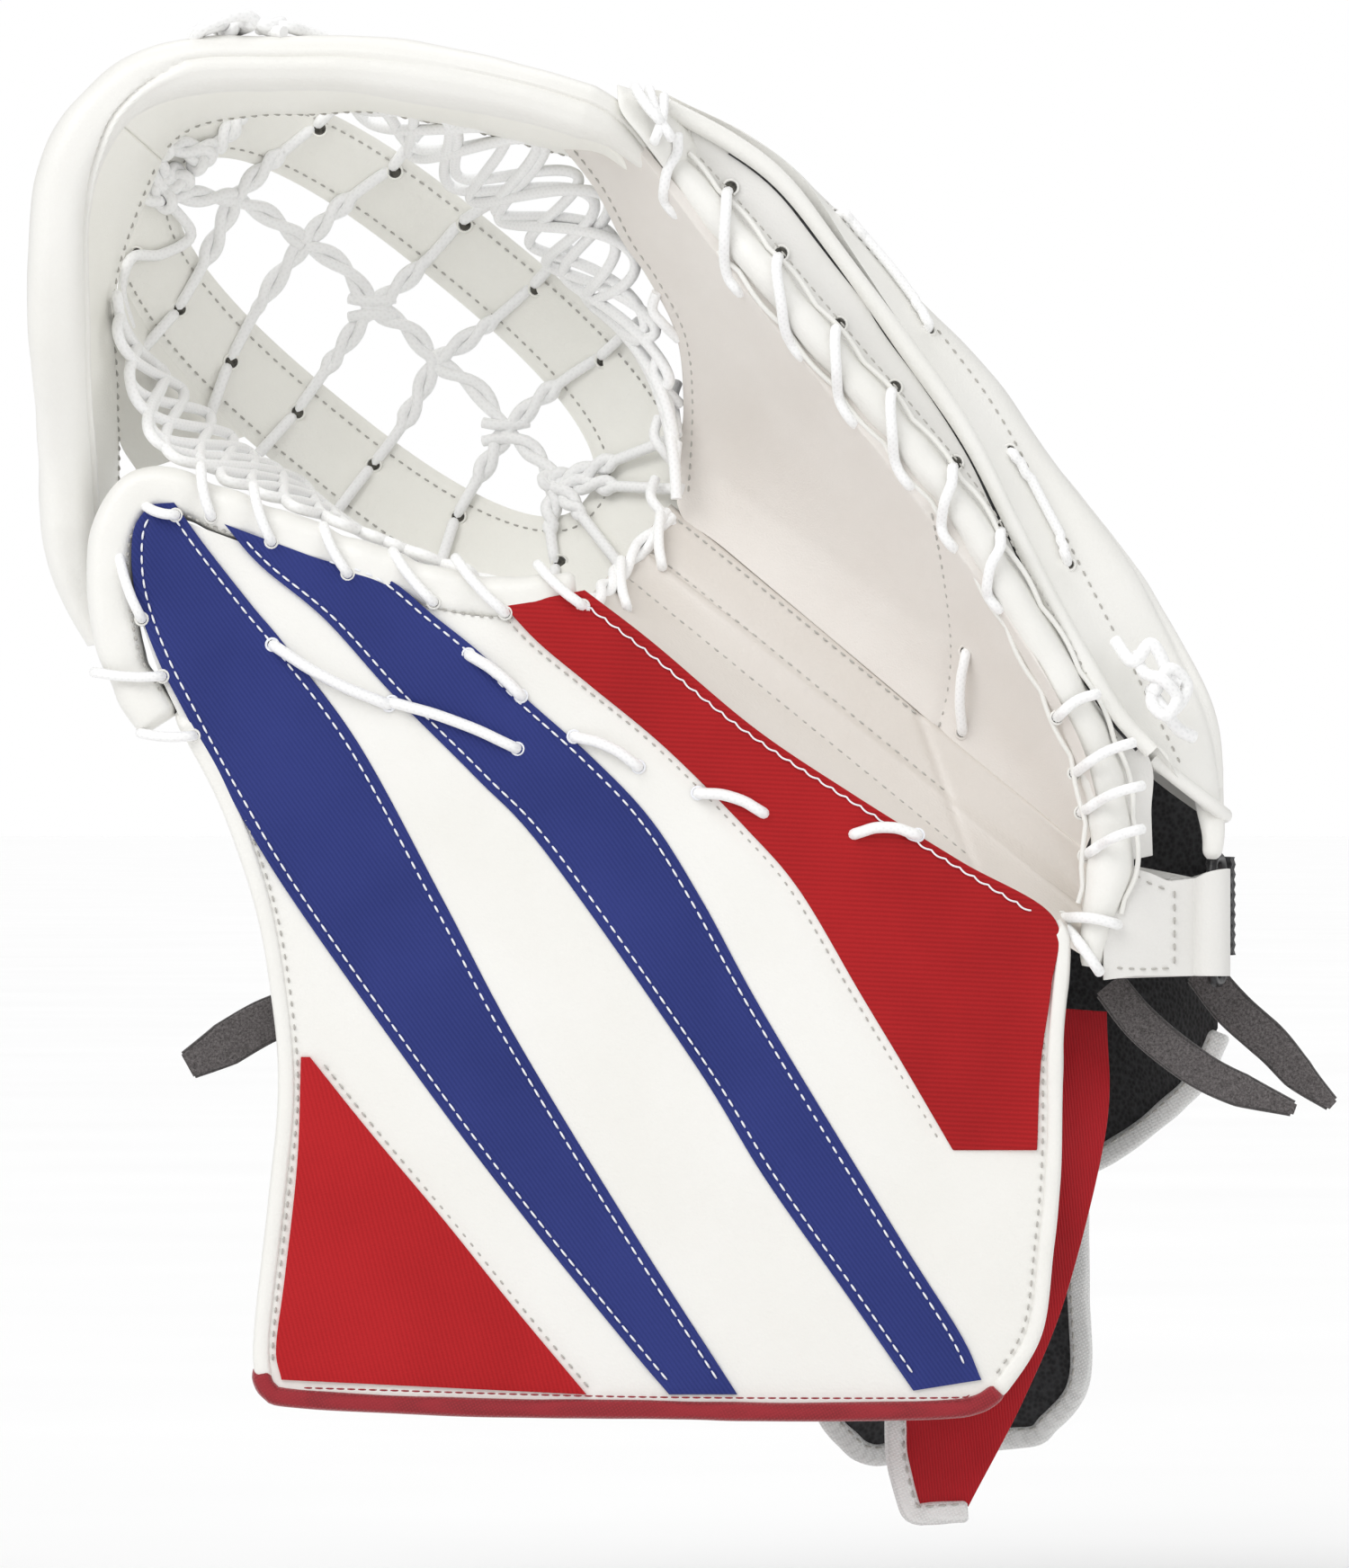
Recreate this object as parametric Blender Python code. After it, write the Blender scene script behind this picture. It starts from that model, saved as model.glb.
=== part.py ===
"""Ice hockey goalie catch glove: padded shells, laced pocket, wrist wraps and straps.

The open pocket faces -Y, +Z is up and +X points to the little-finger side of the wrist.
The origin is at the middle of the palm, where the wearer's hand carries the glove.
All sizes below are millimetres; meshes are written in metres.
"""
import math

import bmesh
import bpy
import numpy as np

MM = 0.001

# Layer thicknesses and gaps
LEATHER = 1.6
APPLIQUE = 1.2
GAP = 0.4
PALM_GAP = 0.9
CUFF_FOAM = 11.0
STIFFENER = 1.8
PALM_FOAM = 5.0
LINER = 1.2
WEB_THICKNESS = 3.2
LACE_RADIUS = 1.75
LACE_LIFT = 4.0
NET_REACH = 50.0
CUFF_DEPTH = 2 * LEATHER + CUFF_FOAM + STIFFENER + 3 * GAP
TAPE_LIP = 2.4
TAPE_OVERHANG = 1.7
SHELL_THICKNESS = 3.0
WRAP_THICKNESS = 3.0
STRAP_THICKNESS = 2.2
BREAK_THICKNESS = 3.0
FACING_THICKNESS = 2.6
COVER_THICKNESS = 2.4
BACKHAND_FOAM = 10.0
BACKHAND_DEPTH = 112.0

# Padded rolls: half width in the x-z plane and half depth along Y
THUMB_ROLL = (4.3, 10.0)
PERIMETER_ROLL = (4.4, 8.5)
ROLL_TAPER = 0.3

# Strap ring and the rolled end of the tab that holds it
RING_WIRE = 1.4
RING_HALF_HEIGHT = 17.5
RING_WIDTH = 14.0
RING_CORNER = 5.0
TAB_OUTER = 5.2
TAB_INNER = 2.9

# Fold line: runs along the web stem and the break of the palm
FOLD_POINT = (-75.0, -18.0, 40.0)
FOLD_ALONG = (0.774, -0.633)
FOLD_ACROSS = (0.633, 0.774)

# Other joint places
RING_PIVOT = (87.5, 14.0, -66.0)
STRAP_UPPER_PIVOT = (85.0, 31.0, -80.0)
STRAP_LOWER_PIVOT = (59.0, 22.0, -84.0)
STRAP_LEFT_PIVOT = (-166.0, 28.0, -90.0)
FLAP_PIVOT = (34.0, 40.0, -92.0)
GUARD_PIVOT = (20.0, 92.0, -147.0)

# Web stem: half width, opening and belly
STEM_END = 12.0
STEM_START = -180.0
STEM_HALF_WIDTH = 46.0
OPENING_CENTRE = -91.0
OPENING_HALF_LENGTH = 71.0
OPENING_HALF_WIDTH = 21.0
STEM_BELLY = ((-185.0, 44.0), (-165.0, 70.0), (-130.0, 94.0), (-85.0, 104.0), (-35.0, 88.0), (15.0, 54.0))

# Edges of the cuff board in its own plane (x, z)
CUFF_LEFT = ((-204, 47), (-213, 40), (-213, 26), (-208, 8), (-201, -8), (-188, -32), (-178, -60),
             (-173, -87), (-171, -114), (-174, -146), (-178, -183), (-177, -196))
CUFF_RIGHT = ((44, -66), (46, -75), (44, -100), (43.5, -132), (41.5, -156), (38, -181), (27, -199))
CUFF_TOP = ((-204, 47), (-178, 37.5), (-155, 29), (-130, 21), (-110, 18.5), (-85, 20.5), (-70, 10),
            (-41, -13), (-14, -31), (16, -50), (44, -66))
CUFF_BOTTOM = ((-177, -196), (-167, -200), (-75, -202), (10, -203), (27, -199))
ROLL_ROUTE = ((-207, -12), (-217, 4), (-221, 22), (-221, 41), (-214, 53.5), (-203, 55.5), (-190, 50.5),
              (-176, 45), (-154, 36.5), (-131, 28.5), (-110, 25), (-90, 27))

# Long edges of the pieces sewn on the cuff face (x, z)
STRIPE_OUTER = (((-207, 44), (-211, 26), (-206, 8), (-199, -8), (-186, -32), (-169, -60), (-131, -113.5),
                 (-102.5, -151), (-75, -185), (-64, -198)),
                ((-199, 44), (-192, 35), (-180, 21.5), (-170, 9.5), (-150, -17.5), (-127, -60),
                 (-107, -98), (-75, -151), (-45, -198)))
STRIPE_INNER = (((-185, 38), (-178, 32), (-160, 18), (-141, -3), (-118, -26), (-98, -47.5), (-57.5, -105),
                 (-37.5, -137.5), (-14, -171), (4, -197)),
                ((-160, 29), (-141.5, 24), (-129, 18), (-116, 8), (-104, -4), (-85.5, -20.5), (-69, -38),
                 (-54.5, -61), (-37, -93), (0, -154), (17, -181), (23, -194)))
HEEL_PANEL = (((-108, 17), (-100, 10), (-85.5, -1), (-65, -18), (-42, -41), (-27.5, -58), (-11, -86),
               (1, -106), (15, -130)),
              ((-86, 18.5), (-70, 7.5), (-42, -15), (-15, -33), (16, -52), (41, -67), (41.5, -84),
               (39.5, -106), (38.5, -130)))
CORNER_PANEL = (((-166.5, -104), (-167.5, -133), (-171, -165), (-173.5, -185), (-172, -194)),
                ((-164, -104), (-148, -124), (-127, -149), (-107, -174), (-87, -198)))

# Palm: pocket edge with the break line, and the edge under the perimeter roll (x, z)
PALM_POCKET_EDGE = ((-87, 146), (-82, 137), (-77, 124), (-70, 114), (-62, 98), (-60, 78), (-61.5, 50),
                    (-47, 37), (8, -9.5), (42, -40))
PALM_ROLL_EDGE = ((-75, 145), (-66, 134.5), (-52, 119), (-37, 101), (-21, 82), (-6, 64.5), (8.5, 45),
                  (18, 27), (26, 11), (34.5, -5), (41.5, -21), (45, -34))
PERIMETER_ROUTE = ((-67.5, 149), (-59.5, 140), (-45.5, 124), (-30.5, 106), (-14.5, 87), (0.5, 69.5),
                   (15.5, 49.5), (25, 31), (33, 15), (42, -2), (49, -19), (52.5, -35), (53.5, -50), (52, -65))
BREAK_UPPER = ((-62, 46), (-47, 34), (8, -12.5), (42, -43))
BREAK_LOWER = ((-80, 24.5), (-67, 13), (-39, -9), (-12, -27), (18, -45), (42, -58))
ROLL_DISTANCE = ((-90, 91), (-25, 75), (45, 61), (90, 49), (125, 35), (160, 14))

# Finger side: seam of the facing and the outer silhouette (x, z)
FACING_EDGE = ((-67, 160), (-47, 149), (-33, 138), (-19, 120), (-1.5, 96), (17, 69.5), (30, 44), (43, 18),
               (58, -7), (70, -21))
SHELL_EDGE = ((-74, 167), (-47, 156), (-16, 131.5), (13, 100), (38.5, 70), (61, 40), (78.5, 12), (87, -6),
              (90.5, -24), (90.5, -38))

# Crossbar rim (x, z) and its depth along the way
RIM_ROUTE = ((-226, 12), (-230, 30), (-232, 60), (-232.5, 90), (-232.5, 118), (-231, 138), (-224, 155),
             (-212, 167), (-195, 172.5), (-172, 173), (-150, 172.5), (-120, 168), (-95, 162), (-78, 157))
RIM_DEPTH = (46, 45, 38, 17, 5, 1, 0, 0, 0, -1, -2, -3, -4, -5)
WALL_REAR = ((-215, 20), (-218, 36), (-219.5, 62), (-220, 90), (-219, 112), (-215, 128), (-209, 143),
             (-201, 154), (-188, 159), (-168, 160.5), (-146, 160.5), (-120, 156), (-101, 151), (-88, 148))
RIM_HALF_WIDTH = 9.5
RIM_HALF_DEPTH = 11.0
WALL_REAR_DEPTH = 52.0
WALL_THICKNESS = 5.0
RIM_FINE = 200
RIM_SPLIT = 0.51
RIM_GAP = 0.004

BODIES = {
    "hand": (0.0, 0.0, 0.0),
    "web": FOLD_POINT,
    "thumb": FOLD_POINT,
    "ring": RING_PIVOT,
    "strap_upper": STRAP_UPPER_PIVOT,
    "strap_lower": STRAP_LOWER_PIVOT,
    "strap_left": STRAP_LEFT_PIVOT,
    "flap": FLAP_PIVOT,
    "guard": GUARD_PIVOT,
}

# name: (base colour, roughness, metallic)
FINISHES = {
    "white_leather": ((0.86, 0.85, 0.81), 0.42, 0.0),
    "palm_leather": ((0.80, 0.76, 0.71), 0.50, 0.0),
    "blue_fabric": ((0.042, 0.060, 0.230), 0.52, 0.0),
    "red_fabric": ((0.47, 0.020, 0.028), 0.50, 0.0),
    "dark_red_binding": ((0.24, 0.010, 0.018), 0.55, 0.0),
    "white_tape": ((0.80, 0.80, 0.79), 0.70, 0.0),
    "lace": ((0.88, 0.88, 0.87), 0.60, 0.0),
    "foam": ((0.30, 0.30, 0.31), 0.90, 0.0),
    "stiffener": ((0.75, 0.75, 0.72), 0.45, 0.0),
    "black_lining": ((0.010, 0.010, 0.011), 0.85, 0.0),
    "grey_felt": ((0.145, 0.130, 0.130), 0.95, 0.0),
    "black_metal": ((0.015, 0.015, 0.016), 0.35, 1.0),
}


# ---------------------------------------------------------------- curves and surfaces
def smooth(points, count):
    """Evenly spaced points on a smooth curve through the given points."""
    given = np.array(points, dtype=float)
    ends = np.vstack([2 * given[0] - given[1], given, 2 * given[-1] - given[-2]])
    dense = []
    for k in range(1, len(ends) - 2):
        before, start, stop, after = ends[k - 1:k + 3]
        for f in np.linspace(0.0, 1.0, 16, endpoint=False):
            dense.append(0.5 * (2 * start + (stop - before) * f
                                + (2 * before - 5 * start + 4 * stop - after) * f ** 2
                                + (3 * start - before - 3 * stop + after) * f ** 3))
    dense.append(given[-1])
    dense = np.array(dense)
    steps = np.linalg.norm(np.diff(dense, axis=0), axis=1)
    travelled = np.concatenate([[0.0], np.cumsum(steps)])
    places = np.linspace(0.0, travelled[-1], count)
    return np.column_stack([np.interp(places, travelled, dense[:, k]) for k in range(dense.shape[1])])


def ruled(side_a, side_b, along, across):
    """Grid of (x, z) points between two long edges."""
    first = smooth(side_a, along)[:, None, :]
    second = smooth(side_b, along)[:, None, :]
    share = np.linspace(0.0, 1.0, across)[None, :, None]
    return first + (second - first) * share


def coons(left, right, top, bottom, along, across):
    """Grid of (x, z) points filled in between four edges; rows run from top to bottom."""
    west = smooth(left, along)
    east = smooth(right, along)
    north = smooth(top, across)
    south = smooth(bottom, across)
    down = np.linspace(0.0, 1.0, along)[:, None, None]
    over = np.linspace(0.0, 1.0, across)[None, :, None]
    sides = (1 - over) * west[:, None, :] + over * east[:, None, :]
    ends = (1 - down) * north[None, :, :] + down * south[None, :, :]
    corners = ((1 - down) * (1 - over) * west[0] + (1 - down) * over * east[0]
               + down * (1 - over) * west[-1] + down * over * east[-1])
    return sides + ends - corners


def inset_grid(grid, distance):
    """The same grid with its border pulled in by a distance."""
    along = np.linspace(-1.0, 1.0, grid.shape[0])[:, None, None]
    across = np.linspace(-1.0, 1.0, grid.shape[1])[None, :, None]
    down = np.gradient(grid, axis=0)
    over = np.gradient(grid, axis=1)
    down = down / np.linalg.norm(down, axis=2, keepdims=True)
    over = over / np.linalg.norm(over, axis=2, keepdims=True)
    return grid - distance * (down * along + over * across)


def fold_coords(x, z):
    """Distance along the fold line, towards the wrist, and across it, towards the fingers."""
    dx = x - FOLD_POINT[0]
    dz = z - FOLD_POINT[2]
    return FOLD_ALONG[0] * dx + FOLD_ALONG[1] * dz, FOLD_ACROSS[0] * dx + FOLD_ACROSS[1] * dz


def from_fold(along, across):
    """The (x, z) place of a point given along and across the fold line."""
    x = FOLD_POINT[0] + FOLD_ALONG[0] * along + FOLD_ACROSS[0] * across
    z = FOLD_POINT[2] + FOLD_ALONG[1] * along + FOLD_ACROSS[1] * across
    return x, z


def cuff_depth(x, z):
    """Front of the cuff board: a gentle crown towards -Y."""
    return 3.6 * ((z + 80.0) / 120.0) ** 2 + 4.0 * ((x + 70.0) / 120.0) ** 2


def palm_depth(x, z):
    """Front of the palm: a dish that is deepest beside the pocket."""
    along, across = fold_coords(x, z)
    reach = np.interp(along, [p[0] for p in ROLL_DISTANCE], [p[1] for p in ROLL_DISTANCE])
    share = np.clip(across / reach, -0.25, 1.0)
    heel = 24.0 + 30.0 / (1.0 + np.exp((along - 10.0) / 16.0))
    dish = 30.0 - 0.11 * along
    return heel * (1 - share) - 4.0 * share + dish * np.sin(math.pi * np.clip(share, 0.0, 1.0))


def stem_depth(along, across):
    """Front of the web stem: a deep belly along the fold line, curling forward at its edges."""
    belly = np.interp(along, [p[0] for p in STEM_BELLY], [p[1] for p in STEM_BELLY])
    return belly - 0.006 * across ** 2


def lay(grid, depth, lift=0.0):
    """Puts a flat (x, z) grid on a depth function; lift moves it towards -Y."""
    x = grid[..., 0]
    z = grid[..., 1]
    return np.stack([x, depth(x, z) - lift, z], axis=-1)


def grid_normals(grid):
    """Unit normals of a 3-D grid, pointing to +Y."""
    down = np.gradient(grid, axis=0)
    over = np.gradient(grid, axis=1)
    normal = np.cross(down, over)
    normal = normal / np.linalg.norm(normal, axis=2, keepdims=True)
    return np.where(normal[..., 1:2] < 0, -normal, normal)


# ---------------------------------------------------------------- solids
def finish_material(name):
    """A Principled material for a finish, made once."""
    if name in bpy.data.materials:
        return bpy.data.materials[name]
    colour, roughness, metallic = FINISHES[name]
    material = bpy.data.materials.new(name)
    material.use_nodes = True
    shader = material.node_tree.nodes["Principled BSDF"]
    shader.inputs["Base Color"].default_value = (*colour, 1.0)
    shader.inputs["Roughness"].default_value = roughness
    shader.inputs["Metallic"].default_value = metallic
    material.diffuse_color = (*colour, 1.0)
    return material


def place(obj, finish, body):
    """Gives an object its material and its body's joint empty as parent."""
    obj.data.materials.append(finish_material(finish))
    bpy.context.collection.objects.link(obj)
    obj.parent = bpy.data.objects[body + "_axis"]
    return obj


def add_solid(name, points, faces, finish, body, sharp=40.0):
    """A closed mesh object from points in millimetres."""
    shifted = (np.asarray(points) - np.array(BODIES[body])) * MM
    mesh = bpy.data.meshes.new(name)
    mesh.from_pydata(shifted.tolist(), [], faces)
    shape = bmesh.new()
    shape.from_mesh(mesh)
    bmesh.ops.recalc_face_normals(shape, faces=shape.faces)
    shape.to_mesh(mesh)
    shape.free()
    mesh.shade_smooth()
    mesh.set_sharp_from_angle(angle=math.radians(sharp))
    return place(bpy.data.objects.new(name, mesh), finish, body)


def slab(name, front, back, finish, body):
    """A closed sheet between two grids of the same size."""
    rows, columns = front.shape[:2]
    points = np.vstack([front.reshape(-1, 3), back.reshape(-1, 3)])
    shift = rows * columns
    faces = []
    for r in range(rows - 1):
        for c in range(columns - 1):
            a = r * columns + c
            faces.append((a, a + 1, a + columns + 1, a + columns))
            faces.append((shift + a, shift + a + columns, shift + a + columns + 1, shift + a + 1))
    rim = [c for c in range(columns)]
    rim += [r * columns + columns - 1 for r in range(1, rows)]
    rim += [(rows - 1) * columns + c for c in range(columns - 2, -1, -1)]
    rim += [r * columns for r in range(rows - 2, 0, -1)]
    for k, a in enumerate(rim):
        b = rim[(k + 1) % len(rim)]
        faces.append((a, b, shift + b, shift + a))
    return add_solid(name, points, faces, finish, body)


def loft(name, rings, finish, body, closed=False):
    """A closed solid through rings of points, capped or joined end to end."""
    rings = np.asarray(rings)
    count, sides = rings.shape[:2]
    faces = []
    for r in range(count if closed else count - 1):
        following = (r + 1) % count
        for c in range(sides):
            d = (c + 1) % sides
            faces.append((r * sides + c, r * sides + d, following * sides + d, following * sides + c))
    if not closed:
        faces.append(tuple(range(sides)))
        faces.append(tuple((count - 1) * sides + c for c in range(sides)))
    return add_solid(name, rings.reshape(-1, 3), faces, finish, body)


def outward(route):
    """Unit normals in the x-z plane of a route of (x, y, z) points, to its left."""
    ahead = np.gradient(route, axis=0)
    normal = np.column_stack([-ahead[:, 2], np.zeros(len(route)), ahead[:, 0]])
    return normal / np.linalg.norm(normal, axis=1, keepdims=True)


def oval_rings(route, half_width, half_depth, sides=10, taper=0.0, side=None):
    """Oval sections along a route, wide in the x-z plane and deep along Y."""
    side = outward(route) if side is None else side
    rings = []
    for k, centre in enumerate(route):
        end = min(k, len(route) - 1 - k)
        scale = 1.0 - taper * (end == 0)
        ring = []
        for a in np.linspace(0.0, 2 * math.pi, sides, endpoint=False):
            ring.append(centre + side[k] * half_width * scale * math.cos(a)
                        + np.array([0.0, half_depth * scale * math.sin(a), 0.0]))
        rings.append(ring)
    return np.array(rings)


def section_rings(route, section):
    """Rings of a fixed section along a route; section points are (outward, depth)."""
    side = outward(route)
    return np.array([[centre + side[k] * n + np.array([0.0, y, 0.0]) for n, y in section]
                     for k, centre in enumerate(route)])


def route_on(points, count, depth):
    """A smooth (x, z) route lifted on a depth function."""
    flat = smooth(points, count)
    return np.column_stack([flat[:, 0], depth(flat[:, 0], flat[:, 1]), flat[:, 1]])


def cord(name, points, finish, body, radius=LACE_RADIUS):
    """A round lace along a list of points."""
    curve = bpy.data.curves.new(name, "CURVE")
    curve.dimensions = "3D"
    curve.bevel_depth = radius * MM
    curve.bevel_resolution = 2
    curve.use_fill_caps = True
    line = curve.splines.new("POLY")
    line.points.add(len(points) - 1)
    shifted = (np.asarray(points) - np.array(BODIES[body])) * MM
    for point, spot in zip(line.points, shifted):
        point.co = (*spot, 1.0)
    return place(bpy.data.objects.new(name, curve), finish, body)


def zigzag(first, second, repeats):
    """Corner points that go back and forth between two routes."""
    a = smooth(first, repeats)
    b = smooth(second, repeats)
    corners = []
    for k in range(repeats):
        pair = (a[k], b[k]) if k % 2 == 0 else (b[k], a[k])
        corners.extend(pair)
    return np.array(corners)


# ---------------------------------------------------------------- cuff and thumb board
def build_cuff():
    """The flat board that covers the wrist and the thumb, with its sewn-on pieces."""
    board = coons(CUFF_LEFT, CUFF_RIGHT, CUFF_TOP, CUFF_BOTTOM, 12, 10)
    depth = 0.0
    layers = (("cuff_face", LEATHER, 0.0, "white_leather"),
              ("cuff_foam", CUFF_FOAM, 1.5, "foam"),
              ("cuff_stiffener", STIFFENER, 3.0, "stiffener"),
              ("cuff_back", LEATHER, 0.0, "black_lining"))
    for name, thickness, border, finish in layers:
        sheet = inset_grid(board, border)
        front = lay(sheet, cuff_depth, -depth)
        slab(name, front, lay(sheet, cuff_depth, -depth - thickness), finish, "thumb")
        depth += thickness + GAP
    pieces = (("stripe_outer", STRIPE_OUTER, 15, 3, "blue_fabric"),
              ("stripe_inner", STRIPE_INNER, 15, 3, "blue_fabric"),
              ("heel_panel", HEEL_PANEL, 13, 4, "red_fabric"),
              ("corner_panel", CORNER_PANEL, 9, 5, "red_fabric"))
    for name, sides, along, across, finish in pieces:
        sheet = ruled(*sides, along, across)
        slab(name, lay(sheet, cuff_depth, GAP + APPLIQUE), lay(sheet, cuff_depth, GAP), finish, "thumb")


def u_section(lip, sign):
    """A folded tape around the board's edge; sign tells on which side of the route the board lies."""
    front = -GAP
    back = CUFF_DEPTH + GAP
    shape = ((-lip, front - APPLIQUE), (TAPE_OVERHANG, front - APPLIQUE), (TAPE_OVERHANG, back + APPLIQUE),
             (-lip, back + APPLIQUE), (-lip, back), (0.5, back), (0.5, front), (-lip, front))
    return [(sign * n, y) for n, y in shape]


def build_cuff_edges():
    """Tapes folded round the board's free edges and the padded roll round the thumb."""
    left = route_on(CUFF_LEFT[5:], 12, cuff_depth)
    loft("cuff_binding_left", section_rings(left[1:-1], u_section(TAPE_LIP - 0.2, -1)), "white_tape", "thumb")
    right = route_on(CUFF_RIGHT[1:], 11, cuff_depth)
    loft("cuff_binding_right", section_rings(right[:-1], u_section(TAPE_LIP, 1)), "white_tape", "thumb")
    hem = route_on(((-176.5, -198), (-167, -200), (-75, -202), (10, -203), (24, -201)), 13, cuff_depth)
    loft("cuff_hem", section_rings(hem, u_section(TAPE_LIP, -1)), "dark_red_binding", "thumb")
    roll = route_on(ROLL_ROUTE, 24, cuff_depth)
    roll[:, 1] += CUFF_DEPTH / 2
    loft("thumb_roll", oval_rings(roll, *THUMB_ROLL, 10, ROLL_TAPER), "white_leather", "thumb")


def build_cuff_laces():
    """The lace whipped over the thumb roll and the running lace on the cuff face."""
    over_roll = smooth(ROLL_ROUTE, 22)
    reach = np.where(np.arange(22) % 2 == 0, 2.6, -2.6)[:, None]
    flat = over_roll + normals_2d(ROLL_ROUTE, 22) * reach
    front = cuff_depth(over_roll[:, 0], over_roll[:, 1]) + CUFF_DEPTH / 2 - THUMB_ROLL[1] - LACE_RADIUS - GAP
    points = np.column_stack([flat[:, 0], front, flat[:, 1]])
    cord("thumb_lace", smooth(points, 46), "lace", "thumb")
    running = ((-174.5, 10.5), (-158, 5), (-142, -5.5), (-124, -12), (-106, -18), (-90, -15), (-72, -24),
               (-55, -31), (-38, -36), (-25, -39), (-13, -42), (5, -42))
    flat = smooth(running, 34)
    lift = GAP + APPLIQUE + GAP + LACE_RADIUS
    front = cuff_depth(flat[:, 0], flat[:, 1]) - lift
    cord("cuff_lace", np.column_stack([flat[:, 0], front, flat[:, 1]]), "lace", "thumb")


# ---------------------------------------------------------------- palm and break
def build_palm():
    """The dished catching surface: leather, foam and the liner that touches the hand."""
    flat = ruled(PALM_POCKET_EDGE, PALM_ROLL_EDGE, 15, 7)
    depth = 0.0
    for name, thickness, border, finish in (("palm_panel", LEATHER, 0.0, "palm_leather"),
                                            ("palm_foam", PALM_FOAM, 7.0, "foam"),
                                            ("palm_back", LINER, 7.0, "white_leather")):
        front = lay(inset_grid(flat, border), palm_depth)
        normal = grid_normals(front)
        slab(name, front + normal * depth, front + normal * (depth + thickness), finish, "hand")
        depth += thickness + PALM_GAP


def build_break():
    """The stitched strips between palm and cuff, where the glove bends."""
    flat = ruled(BREAK_UPPER, BREAK_LOWER, 11, 4)
    front = lay(flat, palm_depth)
    normal = grid_normals(front)
    slab("break_panel", front, front + normal * BREAK_THICKNESS, "palm_leather", "web")


# ---------------------------------------------------------------- finger side
def build_perimeter():
    """The padded roll round the finger side and the lace whipped over it."""
    flat = smooth(PERIMETER_ROUTE, 24)
    height = np.interp(np.arange(24), [0, 4, 14, 23], [6.0, -3.0, 1.0, 16.0])
    route = np.column_stack([flat[:, 0], height, flat[:, 1]])
    loft("perimeter_roll", oval_rings(route, *PERIMETER_ROLL, 10, ROLL_TAPER), "white_leather", "hand")
    side = outward(route)
    lace = []
    for k in range(1, 23):
        reach = 2.4 if k % 2 == 0 else -2.4
        lift = PERIMETER_ROLL[1] + GAP + LACE_RADIUS
        lace.append(route[k] + side[k] * reach - np.array([0.0, lift, 0.0]))
    cord("perimeter_lace", smooth(lace, 46), "lace", "hand")


def finger_profile(inset):
    """Grid over the fingers: from the facing seam, over the silhouette, to the back of the hand."""
    inner = smooth(FACING_EDGE, 15)
    outer = smooth(SHELL_EDGE, 15)
    rows = []
    for k in range(15):
        edge = outer[k] - inner[k]
        width = np.linalg.norm(edge)
        edge = edge / width
        push = np.interp(k, [0, 4, 14], [0.35, 0.8, 1.0])
        shape = ((1.5 - width, 9.0), (-2.5, 15.0), (0.0, 30.0), (-3.0, 52.0), (-18.0, 52.0 + 26.0 * push),
                 (-46.0 * max(push, 0.6), 58.0 + 30.0 * push))
        line = smooth(shape, 9)
        ahead = np.gradient(line, axis=0)
        out = np.column_stack([ahead[:, 1], -ahead[:, 0]])
        line = line - inset * out / np.linalg.norm(out, axis=1, keepdims=True)
        rows.append([(outer[k][0] + edge[0] * n, y, outer[k][1] + edge[1] * n) for n, y in line])
    return np.array(rows)


def build_fingers():
    """Facing, outer shell and foam that cover the fingers."""
    beside_roll = smooth(PERIMETER_ROUTE[:-1], 14) + 5.4 * normals_2d(PERIMETER_ROUTE[:-1], 14)
    facing = ruled(beside_roll, FACING_EDGE, 14, 4)
    height = np.interp(np.arange(14), [0, 3, 13], [6.0, -2.0, 8.0])[:, None]
    share = np.linspace(0.0, 1.0, 4)[None, :]
    front = np.stack([facing[..., 0], height * (1 - share) + 3.5 * share, facing[..., 1]], axis=-1)
    slab("finger_facing", front, front + (0.0, FACING_THICKNESS, 0.0), "white_leather", "hand")
    slab("finger_shell", finger_profile(0.0), finger_profile(SHELL_THICKNESS), "white_leather", "hand")
    pad_front = SHELL_THICKNESS + 1.2
    pad_back = pad_front + 4.0
    slab("finger_pad", finger_profile(pad_front)[3:], finger_profile(pad_back)[3:], "black_lining", "hand")


def normals_2d(points, count):
    """Left-hand unit normals of a flat smooth route."""
    flat = smooth(points, count)
    ahead = np.gradient(flat, axis=0)
    normal = np.column_stack([-ahead[:, 1], ahead[:, 0]])
    return normal / np.linalg.norm(normal, axis=1, keepdims=True)


# ---------------------------------------------------------------- web and crossbar
def build_web():
    """The stem of the web: a leather band round a long opening, with the lace across it."""
    turns = 32
    rows = []
    middle = 0.5 * (STEM_START + STEM_END)
    half = 0.5 * (STEM_END - STEM_START)
    for a in np.linspace(0.0, 2 * math.pi, turns, endpoint=False):
        c = math.copysign(abs(math.cos(a)) ** 0.75, math.cos(a))
        s = math.copysign(abs(math.sin(a)) ** 0.75, math.sin(a))
        outer = np.array([middle + half * c, STEM_HALF_WIDTH * s])
        inner = np.array([OPENING_CENTRE + OPENING_HALF_LENGTH * math.cos(a),
                          OPENING_HALF_WIDTH * math.sin(a) + 1.5])
        row = []
        for share in (0.0, 0.5, 1.0):
            along, across = outer + (inner - outer) * share
            x, z = from_fold(along, across)
            row.append((x, float(stem_depth(along, across)), z))
        rows.append(row)
    front = np.array(rows)
    rings = [[row[0], row[1], row[2], row[2] + (0, WEB_THICKNESS, 0), row[1] + (0, WEB_THICKNESS, 0),
              row[0] + (0, WEB_THICKNESS, 0)] for row in front]
    loft("web_band", rings, "white_leather", "web", closed=True)
    corners = []
    for k, along in enumerate(np.linspace(-148.0, -38.0, 12)):
        across = 33.0 if (k // 2 + k) % 2 == 0 else -31.0
        x, z = from_fold(along, across)
        corners.append((x, float(stem_depth(along, across)) - LACE_LIFT, z))
    cord("web_lace", densify(corners, 5), "lace", "web")


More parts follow.
